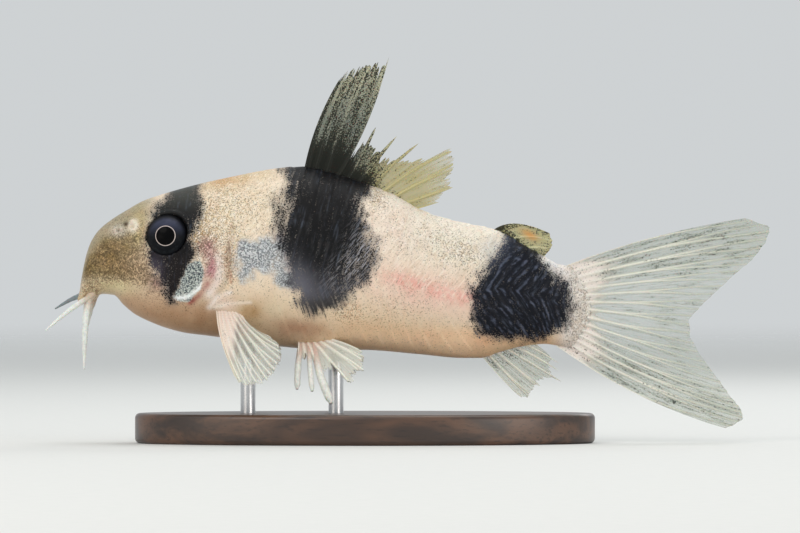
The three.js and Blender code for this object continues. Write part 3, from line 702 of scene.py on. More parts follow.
# %% [markdown]
# ## Pale strokes on the dark markings
# Every plate shows two pale lines, one at its hind edge and one half way, broken up along their length. Fine
# light hairs lie aslant over the hind edge of the front saddle. They could be painted one by one, but
# stretched noise draws them at the right width and in the right direction. The hairs are drawn coarser than
# the real ones.

# %% Pale strokes on the dark markings
LINE_WANDER = 0.6
LINE_HALF = 0.42  # half width of a pale line, in half plates
BREAKS = (2.3, 0.9, 0.0)  # gaps per plate and per millimetre along it
BRUSH_TILT = math.radians(50)
BRUSH_HAIR = (1.1, 0.5, 0.13)  # along, between and across the hairs
wander = add("Math", clouds, LINE_WANDER, **TIMES)
plates_on = add("Math", add("SeparateXYZ", scute_at, out="X"), wander)
in_half = add("Math", add("Math", plates_on, 2.0, **TIMES), operation="FRACT")
off_line = add("Math", add("Math", in_half, -0.5), operation="ABSOLUTE")
line_at = add("MapRange", off_line, 0.0, LINE_HALF, 1.0, 0.0, **SOFTLY)
along_line = add("VectorMath", scute_at, BREAKS, **TIMES)
gaps = add("TexNoise", Vector=along_line, Scale=1.0, Detail=3.0, Roughness=0.6)
broken = add("Math", line_at, add("MapRange", gaps, 0.45, 0.7, **SOFTLY), **TIMES)
plate_line = add("Math", broken, add("SeparateXYZ", scute_at, out="Z"), **TIMES)
rear_line = add("Math", plate_line, fact["rear"], **TIMES)
turned = add("VectorRotate", Vector=where, Angle=BRUSH_TILT, rotation_type="Y_AXIS")
brushed = add("VectorMath", turned, tuple(per_mm(size) for size in BRUSH_HAIR), **TIMES)
brush = add("TexNoise", Vector=brushed, Scale=1.0, Detail=3.0, Distortion=0.6)
wisp = add("Math", add("MapRange", brush, 0.5, 0.62, **SOFTLY), fact["wisps"], **TIMES)
streak_end = add("MapRange", clouds, 0.42, 0.62, **SOFTLY)
pale_streak = add("Math", add("MapRange", streaks, 0.5, 0.74, **SOFTLY), streak_end, **TIMES)
black = tint["ink_tone"]
for mark, strength, code in [
    (pale_streak, 0.26, "#6c7484"), (rear_line, 0.4, "#6a7590"), (plate_line, 0.06, "#9a9a9c"),
    (wisp, 0.62, "#b9b8bf"),
]:
    black = add("Mix", add("Math", mark, strength, **TIMES), black, rgba(code), **TINTS)

# %% [markdown]
# ## Ground tone, worm lines and silver
# Fine paler and darker threads cross the upper flank, and short wriggling lines run between the freckles.
# The silver is grainy, bright crystals beside dull ones. The layers lie as they do in the skin: ground tone,
# freckles, silver, and the black dots over everything.

# %% Ground tone, worm lines and silver
SILVER_GRAIN = 0.17
WORM_SIZE = 0.36
WORM_START = 0.16  # how crowded the freckles are where the worm lines begin
mottle = add("MapRange", clouds, 0.35, 0.75, 0.0, 0.22, **SOFTLY)
mottled = add("Mix", mottle, tint["tone"], rgba("#c7a688"), **TINTS)
paler = add("Math", add("MapRange", brush, 0.5, 0.72, 0.0, 0.5, **SOFTLY), fact["threads"], **TIMES)
darker = add("Math", add("MapRange", brush, 0.26, 0.46, 0.3, 0.0, **SOFTLY), fact["threads"], **TIMES)
threaded = add("Mix", paler, mottled, rgba("#f6f0e2"), **TINTS)
threaded = add("Mix", darker, threaded, rgba("#a89a7e"), **TINTS)
lined = add("Mix", add("Math", plate_line, 0.16, **TIMES), threaded, rgba("#b39c84"), **TINTS)
worms = add("TexNoise", Vector=where, Scale=per_mm(WORM_SIZE), Detail=3.0, Distortion=1.4)
worm_share = add("Math", add("Math", fact["freckles"], -WORM_START), 1.35, **TIMES)
worm_light = add("MapRange", worms, 0.32, 0.68, 0.1, 0.78, **SOFTLY)
wormy = add("Mix", worm_share, lined, worm_light, blend_type="OVERLAY", **TINTS)
freckled = add("Mix", freckle_here, wormy, rgba("#55452f"), **TINTS)
flecks = add("TexNoise", Vector=where, Scale=per_mm(SILVER_GRAIN), Detail=3.0, Roughness=0.75)
dull = add("Math", add("MapRange", flecks, 0.43, 0.6, 1.0, 0.0, **SOFTLY), fact["silver_dark"], **TIMES)
glint = add("Mix", dull, tint["silver_tone"], rgba("#39424a"), **TINTS)
ragged_silver = add("Math", fact["silver"], add("Math", flecks, 0.6, **TIMES))
silvered = add("Mix", add("MapRange", ragged_silver, 0.5, 1.05, **SOFTLY), freckled, glint, **TINTS)
hazy = add("Mix", haze, silvered, rgba("#4c4b4d"), **TINTS)
skin_colour = add("Mix", dark_here, hazy, black, **TINTS)

# %% Surface of the skin
BONE_GRAIN = 0.3
grain = add("TexNoise", Vector=where, Scale=per_mm(BONE_GRAIN), Detail=3.0)
relief = add("Bump", Strength=0.35, Distance=0.06 * MM, Height=grain)
wet = add(
    "BsdfPrincipled", Base_Color=skin_colour, Roughness=0.46, IOR=1.38, Subsurface_Weight=0.22,
    Subsurface_Radius=(1.0, 0.42, 0.26), Subsurface_Scale=0.5 * MM, Coat_Weight=0.05, Coat_Roughness=0.3,
    Specular_IOR_Level=0.18, Normal=relief,
)
add("OutputMaterial", wet)
skin.data.materials.append(living)
print("nodes in the skin:", len(living.node_tree.nodes))

# %% [markdown]
# ## The eyes
# A corydoras has a large round eye that can swivel down. The iris is dark slate, with a violet sheen painted
# on its upper half for the light falling from above, and only a thin ring round the pupil is silver. The ball
# could be painted flat, but a real eye shows a clear dome over a recessed iris. A fine ball with a coat of
# clear varnish gives the same wet point of light, and each point knows its distance from the line of sight,
# from which the rings are drawn.

# %% Eyeballs
EYE_RINGS = 96
EYE_SIDES = 96
POLE_GAP = 0.004  # angle by which the first and the last ring stand off the poles


def eyeball(name, which):
    """A ball with its rings round the line of sight, so that each point knows how far off that line it is."""
    out, on_skin = eye_axis(which)
    centre = on_skin - out * EYE_SUNK
    gaze = unit((-0.11, which * 0.985, 0.10))
    up = unit([0, 0, 1.0] - gaze * gaze[2])
    right = np.cross(up, gaze)
    tilt = np.linspace(POLE_GAP, np.pi - POLE_GAP, EYE_RINGS)[:, None]
    turn = (np.arange(EYE_SIDES) / EYE_SIDES * 2 * np.pi)[None]
    flat = np.sin(tilt) * np.ones_like(turn)
    sideways, upwards = flat * np.cos(turn), flat * np.sin(turn)
    points = np.cos(tilt)[..., None] * gaze + sideways[..., None] * right + upwards[..., None] * up
    ring = EYE_RADIUS * np.where(tilt < np.pi / 2, flat, 2 - flat)
    return loft(name, centre + EYE_RADIUS * points, ring=ring, height=upwards)


eyes = {which: eyeball(f"eyeball_{name}", which) for name, which in (("left", -1), ("right", 1))}

# %% Eye material
# The radii are millimetres from the line of sight: a black pupil, a thin silver ring, slate with a painted
# violet sheen on the upper half, which stands in for light from above, and a dark rim. The coat makes the
# ball look wet.
IRIS_FIBRE = 0.35
eye_skin, add = new_material("wet_cornea_over_slate_iris")
from_sight = add("Attribute", attribute_name="ring", out="Fac")
# painted sheen: the upper half of the iris is drawn lighter, as light falling from above makes it look
painted_sheen_above = add("MapRange", add("Attribute", attribute_name="height", out="Fac"), -0.1, 0.75, **SOFTLY)
fibres = add("TexNoise", Vector=add("TexCoord", out="Object"), Scale=per_mm(IRIS_FIBRE), Detail=3.0)
ring_in = add("MapRange", from_sight, 0.93, 0.965, **SOFTLY)
ring_out = add("MapRange", from_sight, 0.985, 1.03, 1.0, 0.0, **SOFTLY)
iris = add("Mix", painted_sheen_above, rgba("#0f1115"), rgba("#3e4154"), **TINTS)
for share, code in [
    (add("MapRange", fibres, 0.4, 0.7, 0.0, 0.35, **SOFTLY), "#2a3034"),
    (add("MapRange", from_sight, 1.5, 2.05, **SOFTLY), "#121317"),
    (add("Math", ring_in, ring_out, **TIMES), "#cdbfb8"),
    (add("MapRange", from_sight, 0.88, 0.93, 1.0, 0.0, **SOFTLY), "#010102"),
]:
    iris = add("Mix", share, iris, rgba(code), **TINTS)
wet_eye = add(
    "BsdfPrincipled", Base_Color=iris, Roughness=0.5, IOR=1.376, Coat_Weight=0.07, Coat_Roughness=0.12,
    Coat_IOR=1.376, Specular_IOR_Level=0.08,
)
add("OutputMaterial", wet_eye)
for which, name in ((-1, "eye_left"), (1, "eye_right")):
    eyes[which].data.materials.append(eye_skin)
    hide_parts(name)

# %% [markdown]
# ## Fins: rays in a thin membrane
# A fin is a fan of bony rays with skin a few hundredths of a millimetre thick between them. A soft ray forks
# once or twice on its way out. The fin could be a flat picture with holes, but then it would have no
# thickness and no relief. Here each fin is one closed sheet of many narrow columns: a column's thickness
# follows its distance from the nearest ray or fork, and its length follows the fin's edge, with small tears.
# The rays run along the same curves as in the solids.

# %% Fin builder
COLUMNS = 18  # columns of points from one ray to the next
ROWS = 72
MEMBRANE = 0.055  # half thickness of the skin between rays
RAY_WIDTH = (0.2, 0.085)  # at the root and at the tip
FORK_OPENS = 0.27  # how far the two halves of a forked ray part, as a share of the gap to the next ray
FLESH_HALF = 0.5  # half thickness of the flesh at a fin's front edge
TEETH = 6  # uneven teeth of the edge between two rays


def fin(
    roots, tips, bows, webs, across, ends=None, sway=0, fork=0.5, ray_half=0.17, fray=0.03, spine=1.0, seed=1,
    tear=0.0, fleshy=0.0, fingers=True,
):
    """The rings of a fin, and for each point what the material has to know.

    Each ray runs from its root to its tip with a bow. The skin behind ray i reaches out to the share webs[i],
    and in front of the next ray to ends[i].
    """
    rough = np.random.default_rng(seed)
    roots, tips, bows = (np.asarray(p, float) for p in (roots, tips, bows))
    middles = (roots + tips) / 2 + 2 * bows
    gaps = len(roots) - 1
    share = np.linspace(0, gaps, gaps * COLUMNS + 1)
    index = np.minimum(share.astype(int), gaps - 1)
    part = share - index
    nearest = np.minimum(part, 1 - part)
    web = mix(np.asarray(webs, float)[index], np.asarray(webs if ends is None else ends, float)[index], part)
    teeth = rough.uniform(-1, 0.4, TEETH * gaps + 1)
    jag = np.interp(share, np.arange(0, gaps + 0.01, 1 / TEETH), teeth) * fray
    notch = tear * rough.uniform(0, 1, len(share)) ** 3
    free = 1 - step(web, 0.86, 0.96)
    reach = mix(web + jag - notch, 1, (1 - step(nearest, 0.02, 0.11)) * free * fingers)
    t = np.linspace(0, 1, ROWS)[None] * reach[:, None]

    def curve(i):
        a, m, b = roots[i][:, None], middles[i][:, None], tips[i][:, None]
        u = t[..., None]
        return a * (1 - u) ** 2 + 2 * m * u * (1 - u) + b * u * u

    centre = mix(curve(index), curve(index + 1), part[:, None, None])
    gap_width = np.linalg.norm(curve(index + 1) - curve(index), axis=-1)
    opened = fork * FORK_OPENS * step(t, 0.38, 0.95) * (1 - free[:, None])
    from_ray = np.abs(nearest[:, None] - opened) * gap_width
    width = mix(*RAY_WIDTH, t)
    if spine > 1:
        width = width * mix(1, 1.9, (share < 0.5)[:, None] * (1 - step(t, 0.85, 1)))
    ridge = fading(from_ray, width)
    stout = mix(spine, 1, step(share, 0, 0.6))[:, None]
    half = MEMBRANE + (ray_half * mix(1, 0.35, t) * stout) * ridge
    half *= mix(1, 0.45, step(t, 0.9, 1))
    from_front = np.cumsum(gap_width, axis=0) / COLUMNS
    flesh = 1 - step(from_front, fleshy * (1 - 0.6 * t), fleshy * (1.5 - 0.8 * t)) if fleshy else 0 * t
    flesh = flesh * (1 - step(t, 0.45, 0.95))
    half += FLESH_HALF * flesh * np.sqrt(np.clip(from_front / 0.8, 0, 1))
    wave = sway * t * t * np.sin(0.9 * share[:, None] + 0.4)
    near, far = (centre + np.asarray(across) * (sign * half + wave)[..., None] for sign in (-1, 1))
    fan = share[:, None] / gaps * np.ones_like(t)
    length = t * np.linalg.norm(tips - roots, axis=-1)[index][:, None]
    facts = {"ray": ridge, "out": t, "fan": fan, "joint": length, "flesh": flesh}
    facts = {key: np.concatenate([value, value[:, ::-1]], 1) for key, value in facts.items()}
    return np.concatenate([near, far[:, ::-1]], 1), facts


print("points across one gap:", COLUMNS, "and along a ray:", ROWS)

# %% [markdown]
# ## Fin colours
# Rays are pale bone and hide what is behind them, and the skin between is almost clear and hardly shines.
# Black pigment crowds at the root of the dorsal fin and thins out along it, and lies in rows of dots on the
# outer rays of the tail fin. So each fin carries a tone, how much it veils and how crowded its pigment is,
# and one material serves them all. Its dots are as large as those of the skin.

# %% Fin material
FIN_CELL = 0.14
FIN_LINES = (60.0, 0.35, 0.0)  # fine lines across the whole fan, and light and dark per millimetre along them
JOINTS_PER_MM = 18.0  # as an angle: a ray has a joint every third of a millimetre
film, add = new_material("clear_fin_membrane_on_bony_rays")
fact = {
    name: add("Attribute", attribute_name=name, out="Fac")
    for name in ("ray", "fan", "joint", "pigment", "bone", "veil")
}
on_fin = add("TexCoord", out="Object")
specks = add("TexNoise", Vector=on_fin, Scale=per_mm(FIN_CELL), Detail=2.0, Roughness=0.6)
along_ray = add("CombineXYZ", fact["fan"], fact["joint"])
lines = add("TexNoise", Vector=add("VectorMath", along_ray, FIN_LINES, **TIMES), Scale=1.0, Detail=2.0)
joints = add("Math", add("Math", fact["joint"], JOINTS_PER_MM, **TIMES), operation="SINE")
joint_mark = add("Math", add("MapRange", joints, 0.5, 0.95, **SOFTLY), fact["ray"], **TIMES)
speck_here = add("Math", add("MapRange", specks, 0.3, 0.7, **SOFTLY), 0.7, **TIMES)
line_here = add("Math", add("MapRange", lines, 0.3, 0.7, **SOFTLY), 0.3, **TIMES)
fleck = add("Math", add("Math", speck_here, line_here), add("Math", fact["ray"], -0.12, **TIMES))
dark_fleck = add("MapRange", add("Math", fleck, fact["pigment"]), 0.88, 1.08, **SOFTLY)
fin_colour = add("Attribute", attribute_name="tone", out="Color")
for mark, strength, code in [
    (fact["bone"], 0.9, "#f1efe3"), (joint_mark, 0.2, "#8f9184"), (dark_fleck, 0.94, "#191b15"),
]:
    fin_colour = add("Mix", add("Math", mark, strength, **TIMES), fin_colour, rgba(code), **TINTS)
veil = add("Math", fact["veil"], add("Math", fact["ray"], 0.5, **TIMES))
veil = add("Math", veil, add("MapRange", lines, 0.42, 0.68, 0.0, 0.18, **SOFTLY))
veil = add("Math", veil, add("Math", dark_fleck, 0.97, **TIMES), operation="MAXIMUM")
thin_skin = add(
    "BsdfPrincipled", Base_Color=fin_colour, Roughness=0.4, IOR=1.38, Specular_IOR_Level=0.25,
    Alpha=add("Clamp", veil), Subsurface_Weight=0.1, Subsurface_Scale=0.3 * MM,
)
add("OutputMaterial", thin_skin)


def dress_fin(name, made, tone, veil, pigment, node_name, bone=1.0):
    rings, facts = made
    ones = np.ones(facts["out"].shape)
    piece = loft(
        name, rings, cap="strip", smooth=False, tone=tone * ones[..., None], veil=veil * ones,
        pigment=np.clip(pigment * ones, 0, 1), bone=facts["ray"] * bone, **facts,
    )
    piece.data.materials.append(film)
    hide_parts(node_name)


# %% [markdown]
# ## The dorsal fin
# It is the fish's banner: a stout spine and three rays stand together as a dark ragged strip, then come torn
# short rays, and a clear yellowish lobe lies back behind. The pigment is densest at the root, where the
# saddle runs up into the fin.

# %% Dorsal fin
SIDEWAYS = np.array([0, 1.0, 0])
ROOT_SINK = 0.9
tips = np.array([
    (26.4, 0, 36.4), (27.6, 0, 37), (29.1, 0, 37.9), (30.9, 0, 37.9), (29.6, 0, 30.9), (31.7, 0, 30),
    (33.9, 0, 29.3), (37.6, 0, 29), (38, 0, 27.2), (37.4, 0, 24.9), (36, 0, 23.4),
])
root_x = 22.3 + 1.05 * np.arange(len(tips))
roots = np.stack([root_x, 0 * root_x, back(root_x) - ROOT_SINK], -1)
bow_back = np.array([-0.55, -0.4, -0.25, 0.45, 0, -0.1, -0.15, -0.2, -0.1, 0, 0])
bow_up = np.array([0.2, 0.15, 0.1, -0.45, 0, 0.1, 0.15, 0.2, 0.1, 0, 0])
webs = [1, 0.99, 0.95, 0.3, 0.75, 0.62, 0.6, 0.96, 0.93, 0.88]
ends = [1, 0.97, 0.95, 0.68, 0.66, 0.62, 0.75, 0.96, 0.93, 0.88]
made = fin(
    roots, tips, np.stack([bow_back, 0 * bow_up, bow_up], -1), webs, SIDEWAYS, ends, sway=0.35, fray=0.045,
    spine=1.6, seed=3, tear=0.12,
)
out, fan = made[1]["out"], made[1]["fan"]
front = 1 - step(fan, 0.5, 0.68)
tone_d = mix(colour("#767a6a"), colour("#a6a68c"), step(out, 0.45, 0.9)[..., None])
tone_d = mix(tone_d, colour("#b3a96e"), step(fan, 0.35, 0.7)[..., None])
tone_d = mix(tone_d, colour("#0e0f0b"), (front * (1 - step(out, 0.12, 0.4)))[..., None])
ink = front * mix(1.0, 0.47, step(out, 0.11, 0.46)) + (1 - front) * (0.5 * (1 - step(out, 0, 0.25)) + 0.1)
ink += 0.35 * front * (1 - step(fan, 0.015, 0.045))
ink -= 0.3 * front * fading(fan - 0.055, 0.014) * step(out, 0.2, 0.4)
ink += 0.2 * front * fading(fan - 0.09, 0.018)
veil_d = mix(0.5 - 0.36 * step(out, 0.45, 1), 0.66 + 0.2 * (1 - step(out, 0, 0.4)), front)
bone_d = mix(0.16, 0.1, front)
dress_fin("dorsal_membrane", made, tone_d, veil_d, ink, "dorsal_fin", bone=bone_d)

# %% [markdown]
# ## The adipose fin
# Before the tail stands a small flap with one short spine, olive yellow, speckled, with an orange spot. Only
# its front edge has a bone, so its rays are faint and it does not fork.

# %% Adipose fin
made = fin(
    [(41.0, 0, 20.3), (42.4, 0, 19.4), (43.7, 0, 18.6), (45, 0, 17.7)],
    [(46.9, 0, 20.3), (47.3, 0, 19.5), (47.1, 0, 18.7), (46.5, 0, 18)],
    [(-0.55, 0, 0.95), (-0.2, 0, 0.5), (0, 0, 0.2), (0, 0, 0)],
    [1, 1, 0.98], SIDEWAYS, fork=0, ray_half=0.12, spine=1.8, seed=5, fray=0.02,
)
out, fan = made[1]["out"], made[1]["fan"]
spot = fading(out - 0.6, 0.13) * fading(fan - 0.3, 0.16)
tone_a = mix(colour("#b9b582"), colour("#d0922c"), spot[..., None])
ink = 0.27 + 0.36 * (1 - step(fan, 0.02, 0.12)) + 0.6 * (1 - step(out, 0.1, 0.42))
ink += 0.2 * step(fan, 0.55, 0.9) - 0.25 * spot
dress_fin("adipose_membrane", made, tone_a, 0.6, ink, "adipose_fin", bone=0.25)

# %% [markdown]
# ## Anal and tail fins
# Both are almost clear. The tail fin has a dozen forked rays and a deep notch, its outer rays lie close
# together as firm edges, and fine dark dots follow them in rows.

# %% Anal fin
tips = np.array([
    (44.2, 0, 3.75), (45.2, 0, 3.8), (46.1, 0, 4.9), (48.2, 0, 5.4), (47.9, 0, 6.5), (48, 0, 7.2), (47, 0, 8),
])
count = np.arange(len(tips))
root_x = 39.6 + 0.72 * count
roots = np.stack([root_x, 0 * root_x, belly(root_x) + ROOT_SINK], -1)
bows = np.stack([0.0 * count, 0.0 * count, 0.1 * count - 0.25], -1)
webs = [0.98, 0.95, 0.88, 0.84, 0.84, 0.88]
made = fin(roots, tips, bows, webs, SIDEWAYS, sway=0.25, fray=0.04, seed=8, tear=0.05)
ink = 0.16 * (1 - step(made[1]["out"], 0.25, 0.5)) + 0.12
dress_fin("anal_membrane", made, colour("#b7bda9"), 0.26, ink, "anal_fin")

# %% Tail fin
TAIL_BASE = 49.8
tips = np.array([
    (66.6, 0, 21.8), (69.1, 0, 20.9), (68.6, 0, 19.3), (67.2, 0, 17.6), (65.4, 0, 16.1), (63.8, 0, 14.6),
    (62.2, 0, 13.1), (60.9, 0, 11.6), (61.1, 0, 9.8), (62.2, 0, 7.9), (63.7, 0, 5.9), (65.1, 0, 3.9),
    (66.2, 0, 2.6), (66.3, 0, 1.6), (64.6, 0, 0.75),
])
share = np.linspace(0, 1, len(tips))
root_z = mix(back(TAIL_BASE) - 0.35, belly(TAIL_BASE) + 0.35, share)
root_x = TAIL_BASE - ROOT_SINK - 1.4 * (2 * share - 1) ** 4
roots = np.stack([root_x, 0 * share, root_z], -1)
bow = np.where(share < 0.5, 0.55 * (1 - 2 * share), -0.8 * (2 * share - 1))
bows = np.stack([-0.3 * np.abs(bow), 0 * bow, bow], -1)
made = fin(roots, tips, bows, np.ones(len(tips) - 1), SIDEWAYS, sway=0.5, fray=0.006, fork=1.0, seed=11)
out, fan = made[1]["out"], made[1]["fan"]
outer = np.maximum(1 - step(fan, 0.16, 0.32), step(fan, 0.7, 0.84))
uneven = 0.025 * np.sin(97 * fan) + 0.02 * np.sin(41 * fan + 1)
root = 1 - step(out + uneven, 0.12, 0.3)
ink = outer * 0.15 * (1 - 0.4 * step(out, 0.7, 1)) * (1 - 0.6 * root) + 0.07 + 0.06 * root
veil_c = np.maximum(0.18 + 0.13 * outer, 0.98 * root)
tone_c = mix(colour("#a8b0a0"), colour("#dfd7cf"), root[..., None])
bone_c = mix(1.0, 0.45, step(out, 0.4, 0.95)) * (1 - 0.6 * root)
dress_fin("caudal_membrane", made, tone_c, veil_c, ink, "caudal_fin", bone=bone_c)

# %% [markdown]
# ## Paired fins
# The pectoral fins spread out and down from the shoulder, each behind a stout white spine. The pelvic fins
# sit under the belly, with finger-like front rays. They are milky, with pink at the root.

# %% Pectoral fins
FAR_SHIFT = np.array([-0.2, 0, 0])  # the right fins lean forward by this, as hardly any fish is quite even
PECTORAL_TIPS = np.array([
    (15.8, 12, 6.1), (16.3, 12.1, 5.3), (17.3, 11.9, 4.9), (18.4, 11.4, 5.2), (19.3, 10.8, 5.9),
    (20, 10.1, 7), (20.4, 9.5, 8.2), (20.3, 8.9, 9.1), (19.4, 8.2, 9.9),
])


def pectoral_fin(name, which):
    mirror = np.array([1, which, 1])
    count = np.arange(len(PECTORAL_TIPS))
    root_x, root_z = 13.9 + 0.3 * count, 12.7 - 0.04 * count
    roots = np.stack([root_x, skin_y(root_x, root_z) - ROOT_SINK, root_z], -1)
    bows = np.stack([-0.45 + 0.0 * count, 0.5 + 0 * count, 0.25 - 0.06 * count], -1)
    made = fin(
        roots * mirror, PECTORAL_TIPS * mirror + FAR_SHIFT * (which > 0), bows * mirror,
        [1, 0.99, 0.98, 0.98, 0.97, 0.98, 0.97, 0.97], unit((-0.35, which * 0.62, 0.7)), sway=0.25, fork=0.9,
        spine=1.6, fray=0.03, seed=20 + which, tear=0.03, fleshy=2.0,
    )
    out, fan, flesh = (made[1][key] for key in ("out", "fan", "flesh"))
    tone_p = mix(colour("#d6b8a8"), colour("#d3d4ca"), step(out, 0.1, 0.45)[..., None])
    tone_p = mix(tone_p, colour("#e6dcc0"), (1 - step(fan, 0.05, 0.22))[..., None])
    tone_p = mix(tone_p, colour("#e2cdc0"), flesh[..., None] * 0.8)
    veil_p = 0.24 + 0.2 * (1 - step(out, 0.1, 0.4)) + 0.3 * (1 - step(fan, 0.1, 0.25))
    dress_fin(
        f"pectoral_membrane_{name}", made, tone_p, np.maximum(veil_p, 0.98 * flesh), 0.1,
        f"pectoral_fin_{name}", bone=0.7 - 0.4 * flesh,
    )


# %% Pelvic fins
PELVIC_TIPS = np.array([
    (21.9, 5.9, 4.6), (23.3, 6.5, 4.3), (25.3, 7, 3.5), (27.4, 6.9, 4.7), (28.6, 6.5, 6.3), (28.9, 5.9, 7.6),
    (28.4, 5.3, 8.6),
])


def pelvic_fin(name, which):
    mirror = np.array([1, which, 1])
    count = np.arange(len(PELVIC_TIPS))
    root_x = 21.9 + 0.36 * count
    roots = np.stack([root_x, skin_y(root_x, 9.6) - ROOT_SINK, 9.9 + 0 * root_x], -1)
    bows = np.stack([0.0 * count, 0.25 + 0 * count, 0.15 + 0 * count], -1)
    made = fin(
        roots * mirror, PELVIC_TIPS * mirror + FAR_SHIFT * (which > 0), bows * mirror,
        [0.46, 0.42, 0.6, 0.9, 0.93, 0.93], unit((-0.2, which * 0.75, 0.6)), sway=0.2, fork=0.9, fray=0.06,
        seed=30 + which, tear=0.08, fingers=False,
    )
    out = made[1]["out"]
    tone_p = mix(colour("#d8b3a0"), colour("#dedfd4"), step(out, 0.05, 0.4)[..., None])
    dress_fin(
        f"pelvic_membrane_{name}", made, tone_p, 0.42 + 0.3 * (1 - step(out, 0.1, 0.4)), 0.08,
        f"pelvic_fin_{name}", bone=0.7,
    )


for name, which in (("left", -1), ("right", 1)):
    pectoral_fin(name, which)
    pelvic_fin(name, which)

# %% [markdown]
# ## Barbels
# Four soft feelers hang from the corners of the mouth, two forward and two down, pale silver with darker
# specks. A curve with a bevel would do, but a tube made from rings can taper, waver and carry its own tone,
# and it joins the same loft as everything else.

# %% Tubes along a path


def smooth_path(points, steps):
    """Even steps along a smooth curve through the points."""
    points = np.array(points, float)
    knots = np.concatenate([[0], np.cumsum(np.linalg.norm(np.diff(points, axis=0), axis=1))])
    even = np.linspace(0, knots[-1], steps)
    return np.stack([through(list(zip(knots, points[:, k])))(even) for k in range(3)], -1)


def round_rings(path, radii, sides):
    heading = np.gradient(path, axis=0)
    heading /= np.linalg.norm(heading, axis=1, keepdims=True)
    first = np.cross(heading, [0.2, 0.1, 1.0] if abs(heading[0, 2]) < 0.9 else [1.0, 0.1, 0])
    first /= np.linalg.norm(first, axis=1, keepdims=True)
    second = np.cross(heading, first)
    turn = np.arange(sides) / sides * 2 * np.pi
    ring = np.cos(turn)[:, None] * first[:, None] + np.sin(turn)[:, None] * second[:, None]
    return path[:, None] + ring * np.asarray(radii)[:, None, None]


# %% Feeler material
# Soft wet skin with a low coat of gloss, which gives the thin feelers a fine bright line along their length.
TASTE_BUD = 0.25
feeler, add = new_material("moist_feeler_skin")
buds = add("TexNoise", Vector=add("TexCoord", out="Object"), Scale=per_mm(TASTE_BUD), Detail=2.0)
bud_here = add("MapRange", buds, 0.4, 0.65, 0.0, 0.22, **SOFTLY)
plain = add("Attribute", attribute_name="tone", out="Color")
dotted = add("Mix", bud_here, plain, rgba("#8d968f"), **TINTS)
soft = add(
    "BsdfPrincipled", Base_Color=dotted, Roughness=0.38, IOR=1.38, Subsurface_Weight=0.2,
    Subsurface_Scale=0.3 * MM, Coat_Weight=0.15, Coat_Roughness=0.2,
)
add("OutputMaterial", soft)
print("nodes in the feeler skin:", len(feeler.node_tree.nodes))

# %% Barbels
BARBELS = {
    "upper_left": [
        (1.3, -2.0, 14.1), (0.9, -2.3, 13.8), (-0.2, -3.1, 13.1), (-1.6, -3.9, 12.0), (-3.2, -4.6, 10.6),
    ],
    "upper_right": [(1.3, 2.0, 14.3), (0.9, 2.3, 14.3), (-0.8, 3.4, 13.75), (-2.7, 4.2, 12.7)],
    "lower_left": [(1.4, -1.8, 14.3), (1.0, -2.1, 13.7), (0.65, -2.9, 10.6), (0.55, -3.1, 6.7)],
    "lower_right": [(1.5, 1.8, 14.3), (1.3, 2.0, 13.9), (0.5, 2.8, 11.2), (0.15, 2.9, 8.4)],
}
FEELER_STEPS = 60
FEELER_SIDES = 18
share = np.linspace(0, 1, FEELER_STEPS)


def feeler_tube(name, points, radii, tone):
    """A tapered tube along the points, with a tone for each ring."""
    rings = round_rings(smooth_path(points, FEELER_STEPS), radii, FEELER_SIDES)
    tube = loft(name, rings, tone=np.repeat(tone[:, None], FEELER_SIDES, 1))
    tube.data.materials.append(feeler)
    return tube


for name, points in BARBELS.items():
    thick = 0.4 if "lower" in name else 0.3
    radii = mix(thick, 0.07, share**1.9) * (1 + 0.04 * np.sin(share * 40))
    far_tone = "#7b858a" if name == "upper_right" else "#dfe3dd"  # it lies in the shade of the snout
    tone_b = mix(colour("#cbb7a2"), colour(far_tone), step(share, 0.05, 0.35)[:, None])
    tube = feeler_tube(f"feeler_{name}", points, radii, tone_b)
    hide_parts(f"barbel_{name}")

# %% [markdown]
# ## Free front rays of the pelvic fins
# The first three rays of a pelvic fin stand free like fingers. Each is a tube of its own and shares the
# helpers and the moist skin of the barbels.

# %% Free front rays of the pelvic fins
FINGERS = [  # root, middle and tip as (x, z), and the radius
    ((22.2, 9.4), (21.9, 6.9), (21.8, 4.8), 0.3),
    ((22.9, 9.4), (23.1, 6.9), (23.3, 4.6), 0.26),
    ((23.4, 9.4), (24.1, 6.2), (25.2, 3.4), 0.4),
]
tone_f = mix(colour("#d3b5a6"), colour("#e4e5dd"), step(share, 0.1, 0.6)[:, None])
for name, which in (("left", -1), ("right", 1)):
    for number, (root, middle, tip, thick) in enumerate(FINGERS):
        depth = [skin_y(root[0], 9.6) - 0.6, 5.1 + 0.3 * number, 6.1 + 0.4 * number]
        points = [(x, which * y, z) for (x, z), y in zip((root, middle, tip), depth)]
        points = np.array(points) + FAR_SHIFT * (which > 0)
        radii = thick * mix(0.8, 1, step(share, 0.2, 0.7)) * (1 - 0.5 * step(share, 0.9, 1))
        finger = feeler_tube(f"pelvic_finger_{name}_{number}", points, radii, tone_f)
        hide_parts(f"pelvic_fin_{name}")

# %% [markdown]
# ## A plain stand
# The fish swims, so a small oval base and two thin steel rods hold it. The base is stained walnut with a
# satin lacquer and a small round on its edges. It could be a scaled cylinder, but the round edge is what
# catches the light, so its profile is lofted like the rest.

